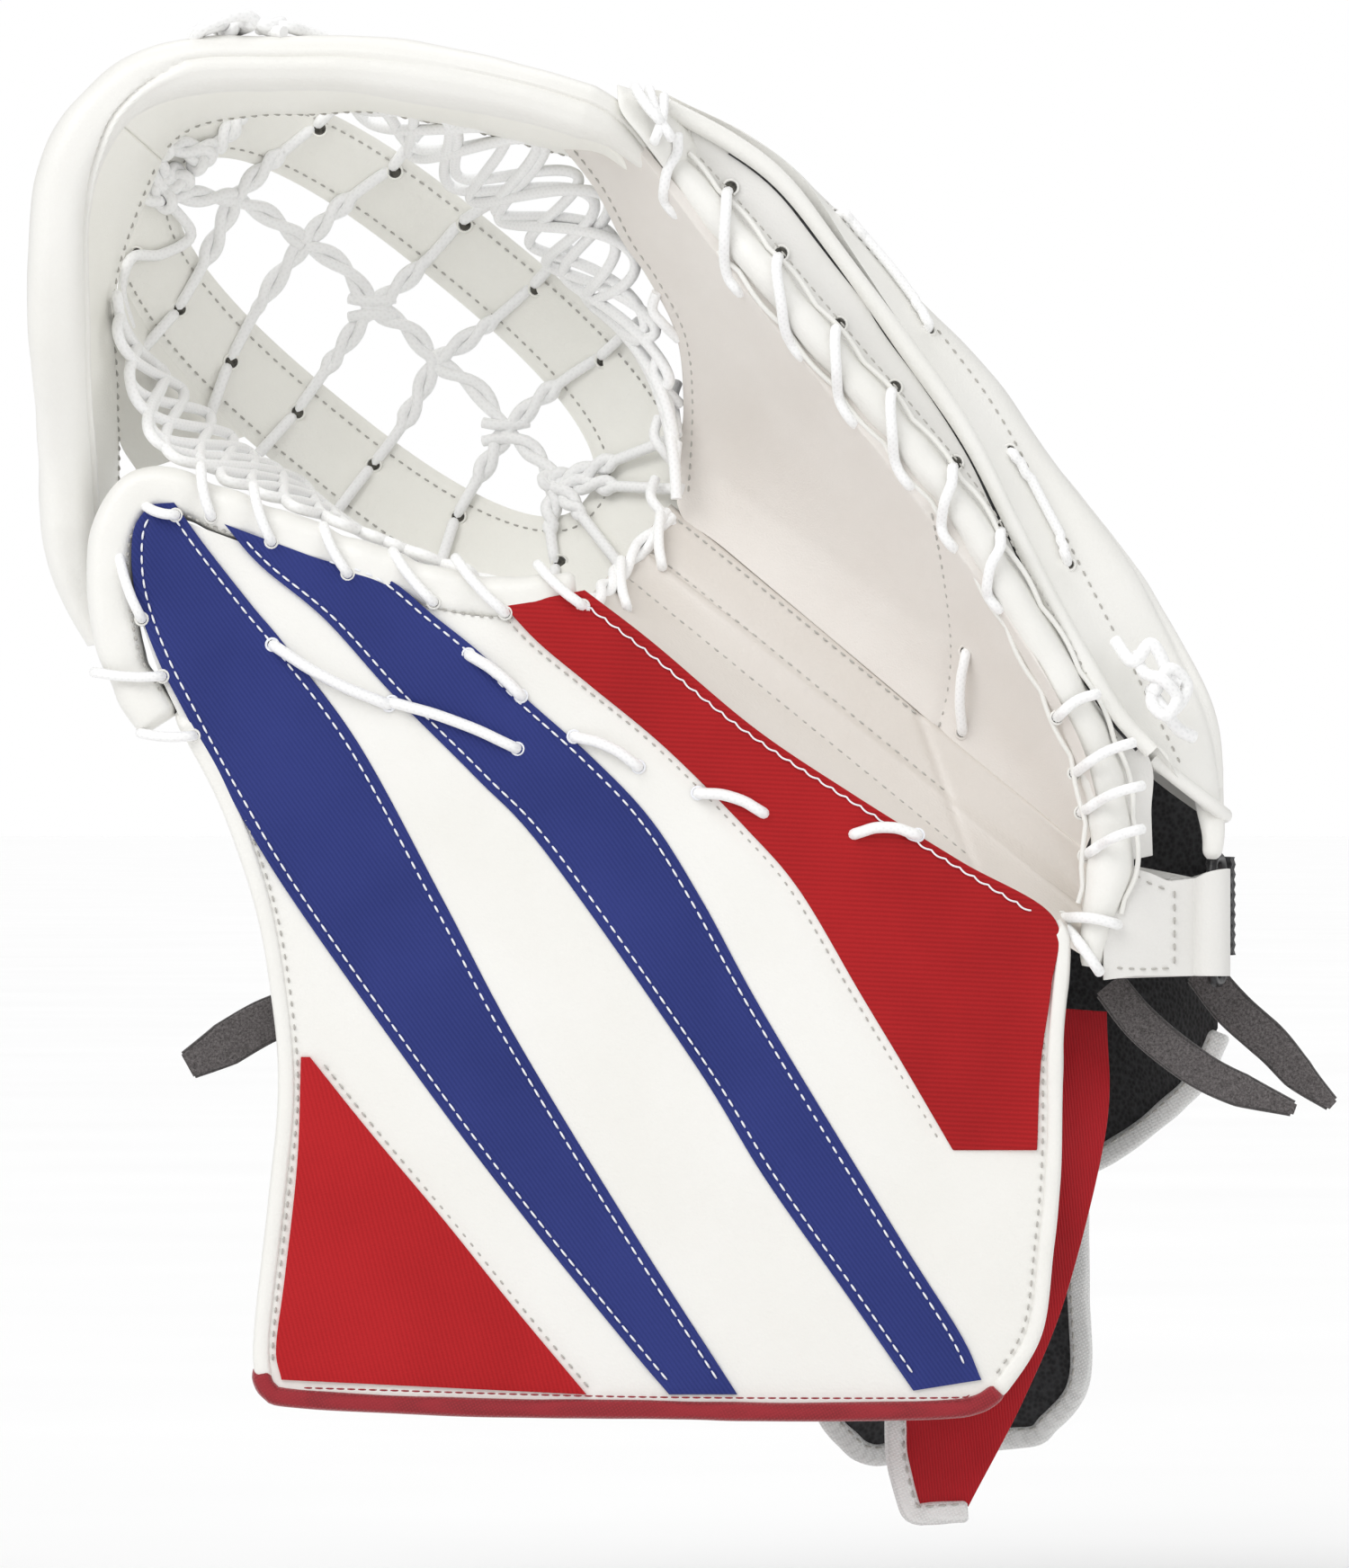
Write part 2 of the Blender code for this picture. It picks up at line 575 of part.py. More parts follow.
def densify(corners, pieces):
    """Extra points on the straight runs between corners, lying on the web stem's depth."""
    points = []
    for start, stop in zip(corners[:-1], corners[1:]):
        for f in np.linspace(0.0, 1.0, pieces, endpoint=False):
            x = start[0] + (stop[0] - start[0]) * f
            z = start[2] + (stop[2] - start[2]) * f
            along, across = fold_coords(x, z)
            points.append((x, float(stem_depth(along, across)) - LACE_LIFT, z))
    points.append(corners[-1])
    return points


def rim_half(first, last, count):
    """Stations of the crossbar's middle line, its wall edge and its normals, from one share to another."""
    fine = smooth([(x, y, z) for (x, z), y in zip(RIM_ROUTE, RIM_DEPTH)], RIM_FINE)
    rear = smooth(WALL_REAR, RIM_FINE)
    places = np.linspace(first, last, count) * (RIM_FINE - 1)
    stations = np.arange(RIM_FINE)
    route = np.column_stack([np.interp(places, stations, fine[:, k]) for k in range(3)])
    edge = np.column_stack([np.interp(places, stations, rear[:, k]) for k in range(2)])
    normal = outward(fine)
    side = np.column_stack([np.interp(places, stations, normal[:, k]) for k in range(3)])
    return route, edge, side


def build_rim():
    """The crossbar roll and its wall, split at the fold line."""
    halves = (("lower", 0.0, RIM_SPLIT - RIM_GAP, 13, "thumb"),
              ("upper", RIM_SPLIT + RIM_GAP, 1.0, 14, "hand"))
    for name, first, last, count, body in halves:
        route, rear, side = rim_half(first, last, count)
        roll = oval_rings(route, RIM_HALF_WIDTH, RIM_HALF_DEPTH, 12, 0.0, side)
        loft("crossbar_roll_" + name, roll, "white_leather", body)
        rings = []
        for k in range(count):
            start = route[k] - side[k] * (RIM_HALF_WIDTH - 3.5) + (0.0, RIM_HALF_DEPTH + 2 * GAP, 0.0)
            stop = np.array([rear[k][0], max(WALL_REAR_DEPTH, start[1] + 14.0), rear[k][1]])
            offset = side[k] * WALL_THICKNESS
            rings.append([start, start + offset, stop + offset, stop])
        loft("crossbar_wall_" + name, rings, "white_leather", body)


def build_nets():
    """Loose lacing between the web stem and the crossbar, palm and thumb."""
    stem_upper = [(*from_fold(a, NET_REACH), a) for a in (-142, -118, -92, -66, -40)]
    finger_side = [(x, float(stem_depth(a, NET_REACH)), z) for x, z, a in stem_upper]
    rim_side = [(-150, 45, 150), (-132, 45, 147), (-112, 42, 141), (-96, 38, 134), (-86, 36, 118)]
    cord("finger_net_lace", smooth(zigzag(rim_side, finger_side, 9), 56), "lace", "web")
    stem_lower = [(*from_fold(a, -NET_REACH), a) for a in (-140, -112, -84, -56, -28)]
    thumb_side = [(x, float(stem_depth(a, -NET_REACH)), z) for x, z, a in stem_lower]
    cuff_side = [(-213, 40, 95), (-205, 34, 70), (-180, 34, 50), (-150, 34, 41), (-118, 34, 34)]
    cord("thumb_net_lace", smooth(zigzag(cuff_side, thumb_side, 9), 56), "lace", "web")


def build_small_cords():
    """Piping on the finger seam, the tie-off on the crossbar and the one on the backhand."""
    seam = smooth(FACING_EDGE, 22)[1:-1]
    height = np.interp(np.arange(20), [0, 19], [1.0, 0.6])
    cord("finger_piping", np.column_stack([seam[:, 0], height, seam[:, 1]]), "white_leather", "hand", 1.5)
    knot = ((-197, -6, 183.8), (-190, 1, 185.2), (-184, -5, 186.2), (-178, 3, 186.0), (-172, -2, 185.8),
            (-166, 4, 185.4))
    cord("crossbar_knot", smooth(knot, 20), "lace", "hand")
    tie = ((60, 0.5, 12), (65, -0.5, 5), (71, 0.5, 9), (77, 2, 2), (72, 1, -4), (66, 0, -8), (72, 2, -13),
           (80, 4, -14))
    cord("backhand_tie", smooth(tie, 28), "lace", "hand")


# ---------------------------------------------------------------- wrist
def build_backhand():
    """The bulging foam and cover on the back of the hand."""
    inner_side = ((-16, 62), (-14, 30), (-4, 0), (2, -34), (6, -60))
    outer_side = ((44, 62), (66, 34), (80, 4), (88, -26), (90, -56))
    back = ruled(inner_side, outer_side, 9, 7)
    bulge = np.linspace(-1.0, 1.0, 7)[None, :]
    height = BACKHAND_DEPTH - 12.0 * bulge ** 2 + np.linspace(0.0, -10.0, 9)[:, None]
    cover = np.stack([back[..., 0], height, back[..., 1]], axis=-1)
    slab("backhand_foam", cover - (0, BACKHAND_FOAM, 0), cover - (0, GAP, 0), "foam", "hand")
    slab("backhand_cover", cover, cover + (0, COVER_THICKNESS, 0), "white_leather", "hand")


def build_ring_tab():
    """White tab whose rolled end holds the strap ring."""
    angles = np.radians(np.linspace(-160, 120, 11))
    centre = (RING_PIVOT[0], RING_PIVOT[1])
    outer = [(centre[0] + TAB_OUTER * math.cos(a), centre[1] + TAB_OUTER * math.sin(a)) for a in angles]
    inner = [(centre[0] + TAB_INNER * math.cos(a), centre[1] + TAB_INNER * math.sin(a)) for a in angles[::-1]]
    tab = [(58.5, 7.0)] + outer + inner + [(58.5, 9.4)]
    rings = [[(x, y, z) for x, y in tab] for z in (-81.0, -66.0, -51.0)]
    loft("ring_tab", rings, "white_leather", "hand")


def arch(centre, half_width, rise, half_length, thickness, along):
    """Section rings of a strap that arches in Y over its middle; along is its long direction in x-z."""
    rings = []
    cross = (-along[1], along[0])
    for a in np.radians(np.linspace(0.0, 180.0, 13)):
        ring = []
        for radius, share in ((0.0, -1.0), (0.0, 1.0), (thickness, 1.0), (thickness, -1.0)):
            reach = (half_length + radius) * math.cos(a)
            x = centre[0] + along[0] * reach + cross[0] * half_width * share
            z = centre[2] + along[1] * reach + cross[1] * half_width * share
            ring.append((x, centre[1] + (rise + radius) * math.sin(a), z))
        rings.append(ring)
    return rings


def build_inner_straps():
    """Strap across the back of the hand and the loop that holds the thumb to the board."""
    loft("hand_strap", arch((20, 59, 10), 12.0, 9.0, 28.0, 2.0, (0.94, -0.34)), "black_lining", "hand")
    loft("thumb_loop", arch((-140, 30, -12), 12.0, 22.0, 20.0, 2.0, (0.62, -0.78)), "black_lining", "thumb")


def build_ring():
    """Wire ring in the rolled end of the tab, with the elastic that closes the wrist."""
    top = RING_HALF_HEIGHT - RING_CORNER
    far = RING_WIDTH - RING_CORNER
    points = []
    for cx, cz, start in ((far, top, 0), (RING_CORNER, top, 90), (RING_CORNER, -top, 180), (far, -top, 270)):
        for a in np.radians(np.linspace(start, start + 90, 4)):
            reach = cx + RING_CORNER * math.cos(a)
            points.append((RING_PIVOT[0] + 0.25 * reach, RING_PIVOT[1] + 0.97 * reach,
                           RING_PIVOT[2] + cz + RING_CORNER * math.sin(a)))
    ring = cord("strap_ring", points, "black_metal", "ring", RING_WIRE)
    ring.data.splines[0].use_cyclic_u = True
    band = []
    for x, y in ((91.5, 30.5), (92.0, 44.0), (91.0, 62.0), (89.0, 79.0)):
        band.append([(x, y, -49.5), (x, y, -77.0), (x + 1.8, y, -77.0), (x + 1.8, y, -49.5)])
    loft("wrist_elastic", band, "black_lining", "hand")


def strap(name, route, widths, body):
    """A flat felt strap along a route of (x, y, z) points, wide across it in the x-z plane."""
    line = smooth(route, 9)
    side = outward(line)
    share = np.linspace(0.0, 1.0, 9)
    half = 0.5 * np.interp(share, np.linspace(0.0, 1.0, len(widths)), widths)
    rings = []
    for k in range(9):
        edge = side[k] * half[k]
        rings.append([line[k] - edge, line[k] + edge, line[k] + edge + (0, STRAP_THICKNESS, 0),
                      line[k] - edge + (0, STRAP_THICKNESS, 0)])
    loft(name, rings, "grey_felt", body)


def build_pull_straps():
    """Three felt pull ends."""
    lower = (STRAP_LOWER_PIVOT, (68, 21, -95), (80, 20, -105), (92, 19, -112), (111, 18, -119))
    strap("pull_strap_lower", lower, (8.5, 9.5, 9.5, 8.5, 3.0), "strap_lower")
    upper = (STRAP_UPPER_PIVOT, (94, 30, -91), (105, 29, -101), (113, 28, -110), (122, 27, -118))
    strap("pull_strap_upper", upper, (9.0, 10.0, 10.0, 8.5, 3.0), "strap_upper")
    left = (STRAP_LEFT_PIVOT, (-178, 28, -95), (-190, 28.5, -102), (-199, 29, -107))
    strap("pull_strap_left", left, (11.0, 11.5, 11.5, 7.0), "strap_left")


def build_wraps():
    """Wrist wrap on the backhand, the red side flap and the guard behind the forearm."""
    thick = (0.0, WRAP_THICKNESS, 0.0)
    upper_side = ((8, -64), (40, -64), (66, -68), (91, -82))
    lower_side = ((10, -138), (40, -140), (62, -131), (83, -113), (91, -97))
    flat = ruled(upper_side, lower_side, 9, 7)
    front = lay(flat, wrap_depth)
    slab("wrist_wrap", front, front + thick, "black_lining", "hand")
    bead("wrist_wrap_binding", flat[:, -1], wrap_depth, "hand")
    left_side = ((8, -88), (4, -130), (2, -180), (1, -214), (5, -232))
    right_side = ((59, -92), (59, -124), (48, -170), (36, -200), (20, -231))
    flat = ruled(left_side, right_side, 11, 5)
    front = lay(flat, flap_depth)
    slab("side_flap", front, front + thick, "red_fabric", "flap")
    bead("side_flap_binding", np.vstack([flat[6:, 0], flat[-1, 1:]]), flap_depth, "flap")
    left_side = ((-19, -147), (-19, -175), (-19, -204), (-8, -218))
    right_side = ((51, -147), (51, -172), (51, -198), (40, -212))
    flat = ruled(left_side, right_side, 9, 7)
    front = lay(flat, guard_depth)
    slab("forearm_guard", front, front + thick, "black_lining", "guard")
    border = np.vstack([flat[1:, 0], flat[-1, 1:-1], flat[:0:-1, -1]])
    bead("forearm_guard_binding", border, guard_depth, "guard")


def wrap_depth(x, z):
    """The wrist wrap bows round the back of the wrist."""
    return 98.0 - 36.0 * ((x - 40.0) / 51.0) ** 2


def flap_depth(x, z):
    """The side flap leans back a little at its free side."""
    return 36.0 + 5.0 * ((x - 20.0) / 40.0) ** 2


def guard_depth(x, z):
    """The forearm guard bows round the back of the forearm."""
    return 90.0 - 9.0 * ((x - 20.0) / 36.0) ** 2


def bead(name, border, depth, body, half_width=2.2, half_depth=2.6):
    """Bound edge of a wrap: a bead just outside a border that has the sheet on its left."""
    ahead = np.gradient(border, axis=0)
    out = np.column_stack([ahead[:, 1], -ahead[:, 0]])
    away = border + out / np.linalg.norm(out, axis=1, keepdims=True) * (half_width + 2 * GAP)
    route = np.column_stack([away[:, 0], depth(away[:, 0], away[:, 1]) + 1.5, away[:, 1]])
    loft(name, oval_rings(route, half_width, half_depth, 8, 0.3), "white_tape", body)


def wipe_scene():
    """Removes whatever the scene holds."""
    for obj in list(bpy.data.objects):
        bpy.data.objects.remove(obj, do_unlink=True)


def add_axes():
    """An empty on each body's joint axis; its pieces are parented to it."""
    for body, spot in BODIES.items():
        axis = bpy.data.objects.new(body + "_axis", None)
        axis.empty_display_size = 0.01
        axis.location = np.array(spot) * MM
        bpy.context.collection.objects.link(axis)


def main():
    wipe_scene()
    add_axes()
    build_cuff()
    build_cuff_edges()
    build_cuff_laces()
    build_palm()
    build_break()
    build_perimeter()
    build_fingers()
    build_web()
    build_rim()
    build_nets()
    build_small_cords()
    build_backhand()
    build_ring_tab()
    build_ring()
    build_inner_straps()
    build_pull_straps()
    build_wraps()
    bpy.context.view_layer.update()


main()
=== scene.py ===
"""Looks of the goalie catch glove: leather shells, sewn fabric, stitches, twisted laces and straps.

Lengths in this file are millimetres, in the frame of the CAD model; meshes are written in metres.
"""
import math

import bmesh
import bpy
import numpy as np
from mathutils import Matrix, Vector, noise


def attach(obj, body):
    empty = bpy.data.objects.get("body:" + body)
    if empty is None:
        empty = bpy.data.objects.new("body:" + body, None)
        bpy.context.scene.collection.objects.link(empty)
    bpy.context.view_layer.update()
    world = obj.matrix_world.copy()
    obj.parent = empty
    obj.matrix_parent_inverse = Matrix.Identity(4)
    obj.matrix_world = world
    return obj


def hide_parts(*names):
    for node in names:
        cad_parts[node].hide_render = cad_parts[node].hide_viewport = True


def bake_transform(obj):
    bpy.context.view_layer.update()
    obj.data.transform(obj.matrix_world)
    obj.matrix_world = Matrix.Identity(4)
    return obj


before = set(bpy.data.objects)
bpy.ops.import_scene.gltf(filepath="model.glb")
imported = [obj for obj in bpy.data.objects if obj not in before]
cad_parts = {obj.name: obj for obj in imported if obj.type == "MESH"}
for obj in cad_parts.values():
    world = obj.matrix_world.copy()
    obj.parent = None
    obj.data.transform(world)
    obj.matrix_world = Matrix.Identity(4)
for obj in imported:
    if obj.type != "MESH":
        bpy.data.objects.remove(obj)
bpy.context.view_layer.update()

MM = 0.001
FRONT = np.array([0.0, -1.0, 0.0])
BACK = np.array([0.0, 1.0, 0.0])
CUFF_DEPTH = 17.2
LACE = 1.75
NET_LACE = 1.6
WHIP_LACE = LACE * 0.88
RIM_STATIONS = 301
ROLL_STATIONS = 230
# pitch, length and radius of the stitches
FINE_SEAM = (3.2, 1.8, 0.28)
CHANNEL_SEAM = (3.4, 2.0, 0.3)
FOLD_POINT = (-75.0, -18.0, 40.0)
FOLD_ALONG = (0.774, -0.633)
FOLD_ACROSS = (0.633, 0.774)

# ---------------------------------------------------------------- outlines, as in the CAD model (x, z)
CUFF_LEFT = ((-204, 47), (-213, 40), (-213, 26), (-208, 8), (-201, -8), (-188, -32), (-178, -60),
             (-173, -87), (-171, -114), (-174, -146), (-178, -183), (-177, -196))
CUFF_RIGHT = ((44, -66), (46, -75), (44, -100), (43.5, -132), (41.5, -156), (38, -181), (27, -199))
CUFF_TOP = ((-204, 47), (-178, 37.5), (-155, 29), (-130, 21), (-110, 18.5), (-85, 20.5), (-70, 10),
            (-41, -13), (-14, -31), (16, -50), (44, -66))
CUFF_BOTTOM = ((-177, -196), (-167, -200), (-75, -202), (10, -203), (27, -199))
ROLL_ROUTE = ((-207, -12), (-217, 4), (-221, 22), (-221, 41), (-214, 53.5), (-203, 55.5), (-190, 50.5),
              (-176, 45), (-154, 36.5), (-131, 28.5), (-110, 25), (-90, 27))
STRIPE_OUTER = (((-209, 50), (-213.5, 42), (-213, 26), (-207, 8), (-199, -8), (-186, -32), (-169, -60),
                 (-131, -113.5), (-102.5, -151), (-75, -185), (-64, -198)),
                ((-202, 50.5), (-193, 38), (-180, 21.5), (-170, 9.5), (-150, -17.5), (-127, -60),
                 (-107, -98), (-75, -151), (-45, -198)))
STRIPE_INNER = (((-188, 44.5), (-178, 33), (-160, 18), (-141, -3), (-118, -26), (-98, -47.5), (-57.5, -105),
                 (-37.5, -137.5), (-14, -171), (4, -197)),
                ((-161, 34.5), (-143, 29.5), (-129, 18.5), (-116, 8), (-104, -4), (-85.5, -20.5), (-69, -38),
                 (-54.5, -61), (-37, -93), (0, -154), (17, -181), (23, -194)))
HEEL_PANEL = (((-110, 21.5), (-100, 11.0), (-85.5, -1), (-65, -18), (-42, -41), (-27.5, -58), (-11, -86),
               (1, -106), (15, -130)),
              ((-87.5, 26), (-68.5, 11.4), (-40.5, -12.2), (-13.5, -30.4), (17, -49.4), (43, -65),
               (42.5, -84), (39.5, -106), (38.5, -130)))
CORNER_PANEL = (((-166.5, -104), (-167.5, -133), (-171, -165), (-173.5, -185), (-172, -194)),
                ((-164, -104), (-148, -124), (-127, -149), (-107, -174), (-87, -198)))
PALM_POCKET_EDGE = ((-96, 153), (-85, 139), (-77, 124), (-70, 114), (-62, 98), (-60, 78), (-61.5, 50),
                    (-47, 37), (8, -9.5), (52, -47.5))
PALM_ROLL_EDGE = ((-72, 151), (-61.5, 138), (-47.5, 122), (-32.5, 104), (-16.5, 85), (-1.5, 67.5), (13.5, 48),
                  (24.5, 30), (34, 14), (43, -2), (51, -18), (56, -36))
PERIMETER_ROUTE = ((-67.5, 149), (-59.5, 140), (-45.5, 124), (-30.5, 106), (-14.5, 87), (0.5, 69.5),
                   (16.5, 49.5), (27.5, 31), (37, 15), (46.5, -2), (54.5, -19), (58.5, -35), (59, -50),
                   (55.5, -66), (53.5, -79))
PERIMETER_WIDTHS = ((0.0, 5.0), (0.55, 5.0), (0.75, 6.2), (0.9, 6.6), (1.0, 3.4))
BREAK_UPPER = ((-63.5, 51), (-48, 38.5), (8, -8.5), (57, -49.5))
BREAK_LOWER = ((-90, 20), (-72, 5.5), (-43, -16.5), (-16, -34.5), (15, -53), (53, -77))
ROLL_DISTANCE = ((-90, 91), (-25, 75), (45, 61), (90, 51), (125, 40), (150, 26), (162, 14))
FACING_EDGE = ((-67, 160), (-47, 149), (-33, 138), (-19, 120), (-1.5, 96), (17, 69.5), (30, 44), (43, 18),
               (58, -7), (70, -21))
SHELL_EDGE = ((-74, 167), (-47, 156), (-16, 131.5), (13, 100), (38.5, 70), (61, 40), (78.5, 12), (87, -6),
              (90.5, -24), (90.5, -38))
RIM_ROUTE = ((-227, 12), (-231, 30), (-233, 60), (-234, 90), (-234, 118), (-232, 138), (-224.5, 155.5),
             (-212, 167), (-195, 172), (-172, 172.5), (-150, 172), (-120, 167.5), (-95, 161.5), (-79, 155),
             (-66.5, 142))
RIM_DEPTH = (46, 45, 38, 17, 5, 1, 0, 0, 0, -1, -2, -3, -4, -2, 5)
WALL_REAR = ((-215, 20), (-218, 36), (-219.5, 62), (-220, 90), (-219, 112), (-215, 128), (-209, 143),
             (-201, 154), (-188, 159), (-168, 160.5), (-146, 160.5), (-120, 156), (-101, 151), (-88, 147),
             (-77, 139))
BRAID_PITCH = 0.314 / 0.52
SKY_LEVEL = 0.46
STEM_BELLY = ((-185.0, 44.0), (-165.0, 70.0), (-130.0, 94.0), (-85.0, 104.0), (-35.0, 88.0), (15.0, 54.0))


# ---------------------------------------------------------------- curves and surfaces
def smooth(points, count):
    """Evenly spaced points on a smooth curve through the given points."""
    given = np.array(points, dtype=float)
    ends = np.vstack([2 * given[0] - given[1], given, 2 * given[-1] - given[-2]])
    dense = []
    for k in range(1, len(ends) - 2):
        before, start, stop, after = ends[k - 1:k + 3]
        for f in np.linspace(0.0, 1.0, 16, endpoint=False):
            dense.append(0.5 * (2 * start + (stop - before) * f
                                + (2 * before - 5 * start + 4 * stop - after) * f ** 2
                                + (3 * start - before - 3 * stop + after) * f ** 3))
    dense.append(given[-1])
    dense = np.array(dense)
    travelled = travelled_along(dense)
    return spots_at(np.linspace(0.0, travelled[-1], count), travelled, dense)


def travelled_along(path):
    """Length travelled along a path at each of its points."""
    return np.concatenate([[0.0], np.cumsum(np.linalg.norm(np.diff(path, axis=0), axis=1))])


def spots_at(places, travelled, path):
    """Points of a path at given lengths travelled along it."""
    return np.column_stack([np.interp(places, travelled, path[:, k]) for k in range(path.shape[1])])


def length_of(path):
    """Length of a path of points."""
    return float(np.sum(np.linalg.norm(np.diff(np.asarray(path), axis=0), axis=1)))


def unit(v):
    """Vectors scaled to length 1."""
    v = np.asarray(v, dtype=float)
    return v / np.maximum(np.linalg.norm(v, axis=-1, keepdims=True), 1e-9)


def bell(distance, width):
    """1 at no distance, falling smoothly to 0 past the width."""
    return np.exp(-(distance / width) ** 2)


def ruled(side_a, side_b, along, across):
    """Grid of (x, z) points between two long edges."""
    first = smooth(side_a, along)[:, None, :]
    second = smooth(side_b, along)[:, None, :]
    return first + (second - first) * np.linspace(0.0, 1.0, across)[None, :, None]


def coons(left, right, top, bottom, along, across):
    """Grid of (x, z) points filled in between four edges; rows run from top to bottom."""
    west, east = smooth(left, along), smooth(right, along)
    north, south = smooth(top, across), smooth(bottom, across)
    down = np.linspace(0.0, 1.0, along)[:, None, None]
    over = np.linspace(0.0, 1.0, across)[None, :, None]
    sides = (1 - over) * west[:, None, :] + over * east[:, None, :]
    ends = (1 - down) * north[None, :, :] + down * south[None, :, :]
    corners = ((1 - down) * (1 - over) * west[0] + (1 - down) * over * east[0]
               + down * (1 - over) * west[-1] + down * over * east[-1])
    return sides + ends - corners


def fold_coords(x, z):
    """Distance along the fold line, towards the wrist, and across it, towards the fingers."""
    dx, dz = x - FOLD_POINT[0], z - FOLD_POINT[2]
    return FOLD_ALONG[0] * dx + FOLD_ALONG[1] * dz, FOLD_ACROSS[0] * dx + FOLD_ACROSS[1] * dz


def from_fold(along, across):
    """The (x, z) place of a point given along and across the fold line."""
    return (FOLD_POINT[0] + FOLD_ALONG[0] * along + FOLD_ACROSS[0] * across,
            FOLD_POINT[2] + FOLD_ALONG[1] * along + FOLD_ACROSS[1] * across)


def cuff_depth(x, z):
    """Front of the cuff board: a gentle crown towards the viewer."""
    return 3.6 * ((z + 80.0) / 120.0) ** 2 + 4.0 * ((x + 70.0) / 120.0) ** 2


def palm_depth(x, z):
    """Front of the palm: a dish that is deepest beside the pocket."""
    along, across = fold_coords(x, z)
    reach = np.interp(along, [p[0] for p in ROLL_DISTANCE], [p[1] for p in ROLL_DISTANCE])
    share = np.clip(across / reach, -0.25, 1.0)
    heel = 24.0 + 30.0 / (1.0 + np.exp((along - 10.0) / 16.0))
    dish = 30.0 - 0.11 * along
    return heel * (1 - share) - 4.0 * share + dish * np.sin(math.pi * np.clip(share, 0.0, 1.0))


BELLY_LINE = smooth(STEM_BELLY, 120)


def stem_depth(along, across):
    """Front of the web stem: a deep belly along the fold line, curling forward at its edges."""
    return np.interp(along, BELLY_LINE[:, 0], BELLY_LINE[:, 1]) - 0.006 * across ** 2


def on_cuff(points, lift):
    """(x, z) points lifted off the cuff's face."""
    p = np.asarray(points, dtype=float)
    return raised(p, cuff_depth(p[:, 0], p[:, 1]) - lift)


def on_palm(points, lift):
    """(x, z) points lifted off the palm."""
    p = np.asarray(points, dtype=float)
    return raised(p, palm_depth(p[:, 0], p[:, 1]) - lift)


def on_stem(points, lift):
    """(x, z) points lifted off the front of the web stem."""
    p = np.asarray(points, dtype=float)
    along, across = fold_coords(p[:, 0], p[:, 1])
    return raised(p, stem_depth(along, across) - lift)


def left_of(line):
    """Unit normals of a flat (x, z) line, to its left."""
    ahead = np.gradient(line, axis=0)
    return unit(np.column_stack([-ahead[:, 1], ahead[:, 0]]))


def grid_of(x, y, z):
    """A grid of points from its three coordinates."""
    return np.stack([x, y, z], axis=-1)


def raised(line, height):
    """A flat (x, z) line lifted to a depth."""
    return np.column_stack([line[:, 0], np.broadcast_to(height, len(line)), line[:, 1]])


def rounded(value, power):
    """A power that keeps the sign, for squared-off ovals."""
    return np.sign(value) * np.abs(value) ** power


def outward(route):
    """Unit normals in the x-z plane of a route of (x, y, z) points, to its left."""
    ahead = np.gradient(route, axis=0)
    return unit(raised(np.column_stack([-ahead[:, 2], ahead[:, 0]]), 0.0))


def grid_normals(grid):
    """Unit normals of a 3-D grid, pointing to +Y."""
    normal = unit(np.cross(np.gradient(grid, axis=0), np.gradient(grid, axis=1)))
    return np.where(normal[..., 1:2] < 0, -normal, normal)


def distance_to(points, line):
    """Distance from (x, z) points to a polyline."""
    p = np.asarray(points, dtype=float)[..., None, :]
    a, b = np.asarray(line)[:-1], np.asarray(line)[1:]
    ab = b - a
    share = np.clip(np.sum((p - a) * ab, axis=-1) / np.maximum(np.sum(ab * ab, axis=-1), 1e-9), 0.0, 1.0)
    return np.min(np.linalg.norm(p - (a + ab * share[..., None]), axis=-1), axis=-1)


def wrinkle(grid, size, height, seed=0.0):
    """Smooth noise of a given cell size for each point of a grid."""
    flat = grid.reshape(-1, 3)
    value = [noise.noise(Vector((p[0] / size + seed, p[1] / size, p[2] / size))) for p in flat]
    return np.array(value).reshape(grid.shape[:-1]) * height


# ---------------------------------------------------------------- materials
def new_material(name, colour, roughness, metallic=0.0, coat=0.0, sheen=0.0):
    """A material with its Principled shader, ready for its texture nodes."""
    material = bpy.data.materials.new(name)
    material.use_nodes = True
    shader = material.node_tree.nodes["Principled BSDF"]
    shader.inputs["Base Color"].default_value = (*colour, 1.0)
    shader.inputs["Roughness"].default_value = roughness
    shader.inputs["Metallic"].default_value = metallic
    shader.inputs["Coat Weight"].default_value = coat
    shader.inputs["Coat Roughness"].default_value = 0.3
    shader.inputs["Sheen Weight"].default_value = sheen
    return material, shader


def node(material, kind, **inputs):
    """A new shader node with its input values set."""
    made = material.node_tree.nodes.new(kind)
    for key, value in inputs.items():
        made.inputs[key.replace("_", " ")].default_value = value
    return made


def link(material, source, target):
    """Joins two sockets of a material."""
    material.node_tree.links.new(source, target)


def coordinates(material, scale=(1.0, 1.0, 1.0), rotation=(0.0, 0.0, 0.0), uv=False):
    """Object coordinates (or the lace's own UV) through a Mapping node."""
    turn = node(material, "ShaderNodeMapping", Scale=scale, Rotation=rotation)
    if uv:
        place = node(material, "ShaderNodeUVMap")
        place.uv_map = "along"
        link(material, place.outputs["UV"], turn.inputs["Vector"])
    else:
        place = node(material, "ShaderNodeTexCoord")
        link(material, place.outputs["Object"], turn.inputs["Vector"])
    return turn.outputs["Vector"]


def tint(material, shader, factor, dark, light, low=0.3, high=0.7):
    """Base colour from a factor between two colours."""
    ramp = node(material, "ShaderNodeValToRGB")
    ramp.color_ramp.elements[0].position = low
    ramp.color_ramp.elements[0].color = (*dark, 1.0)
    ramp.color_ramp.elements[1].position = high
    ramp.color_ramp.elements[1].color = (*light, 1.0)
    link(material, factor, ramp.inputs["Fac"])
    link(material, ramp.outputs["Color"], shader.inputs["Base Color"])
    return ramp


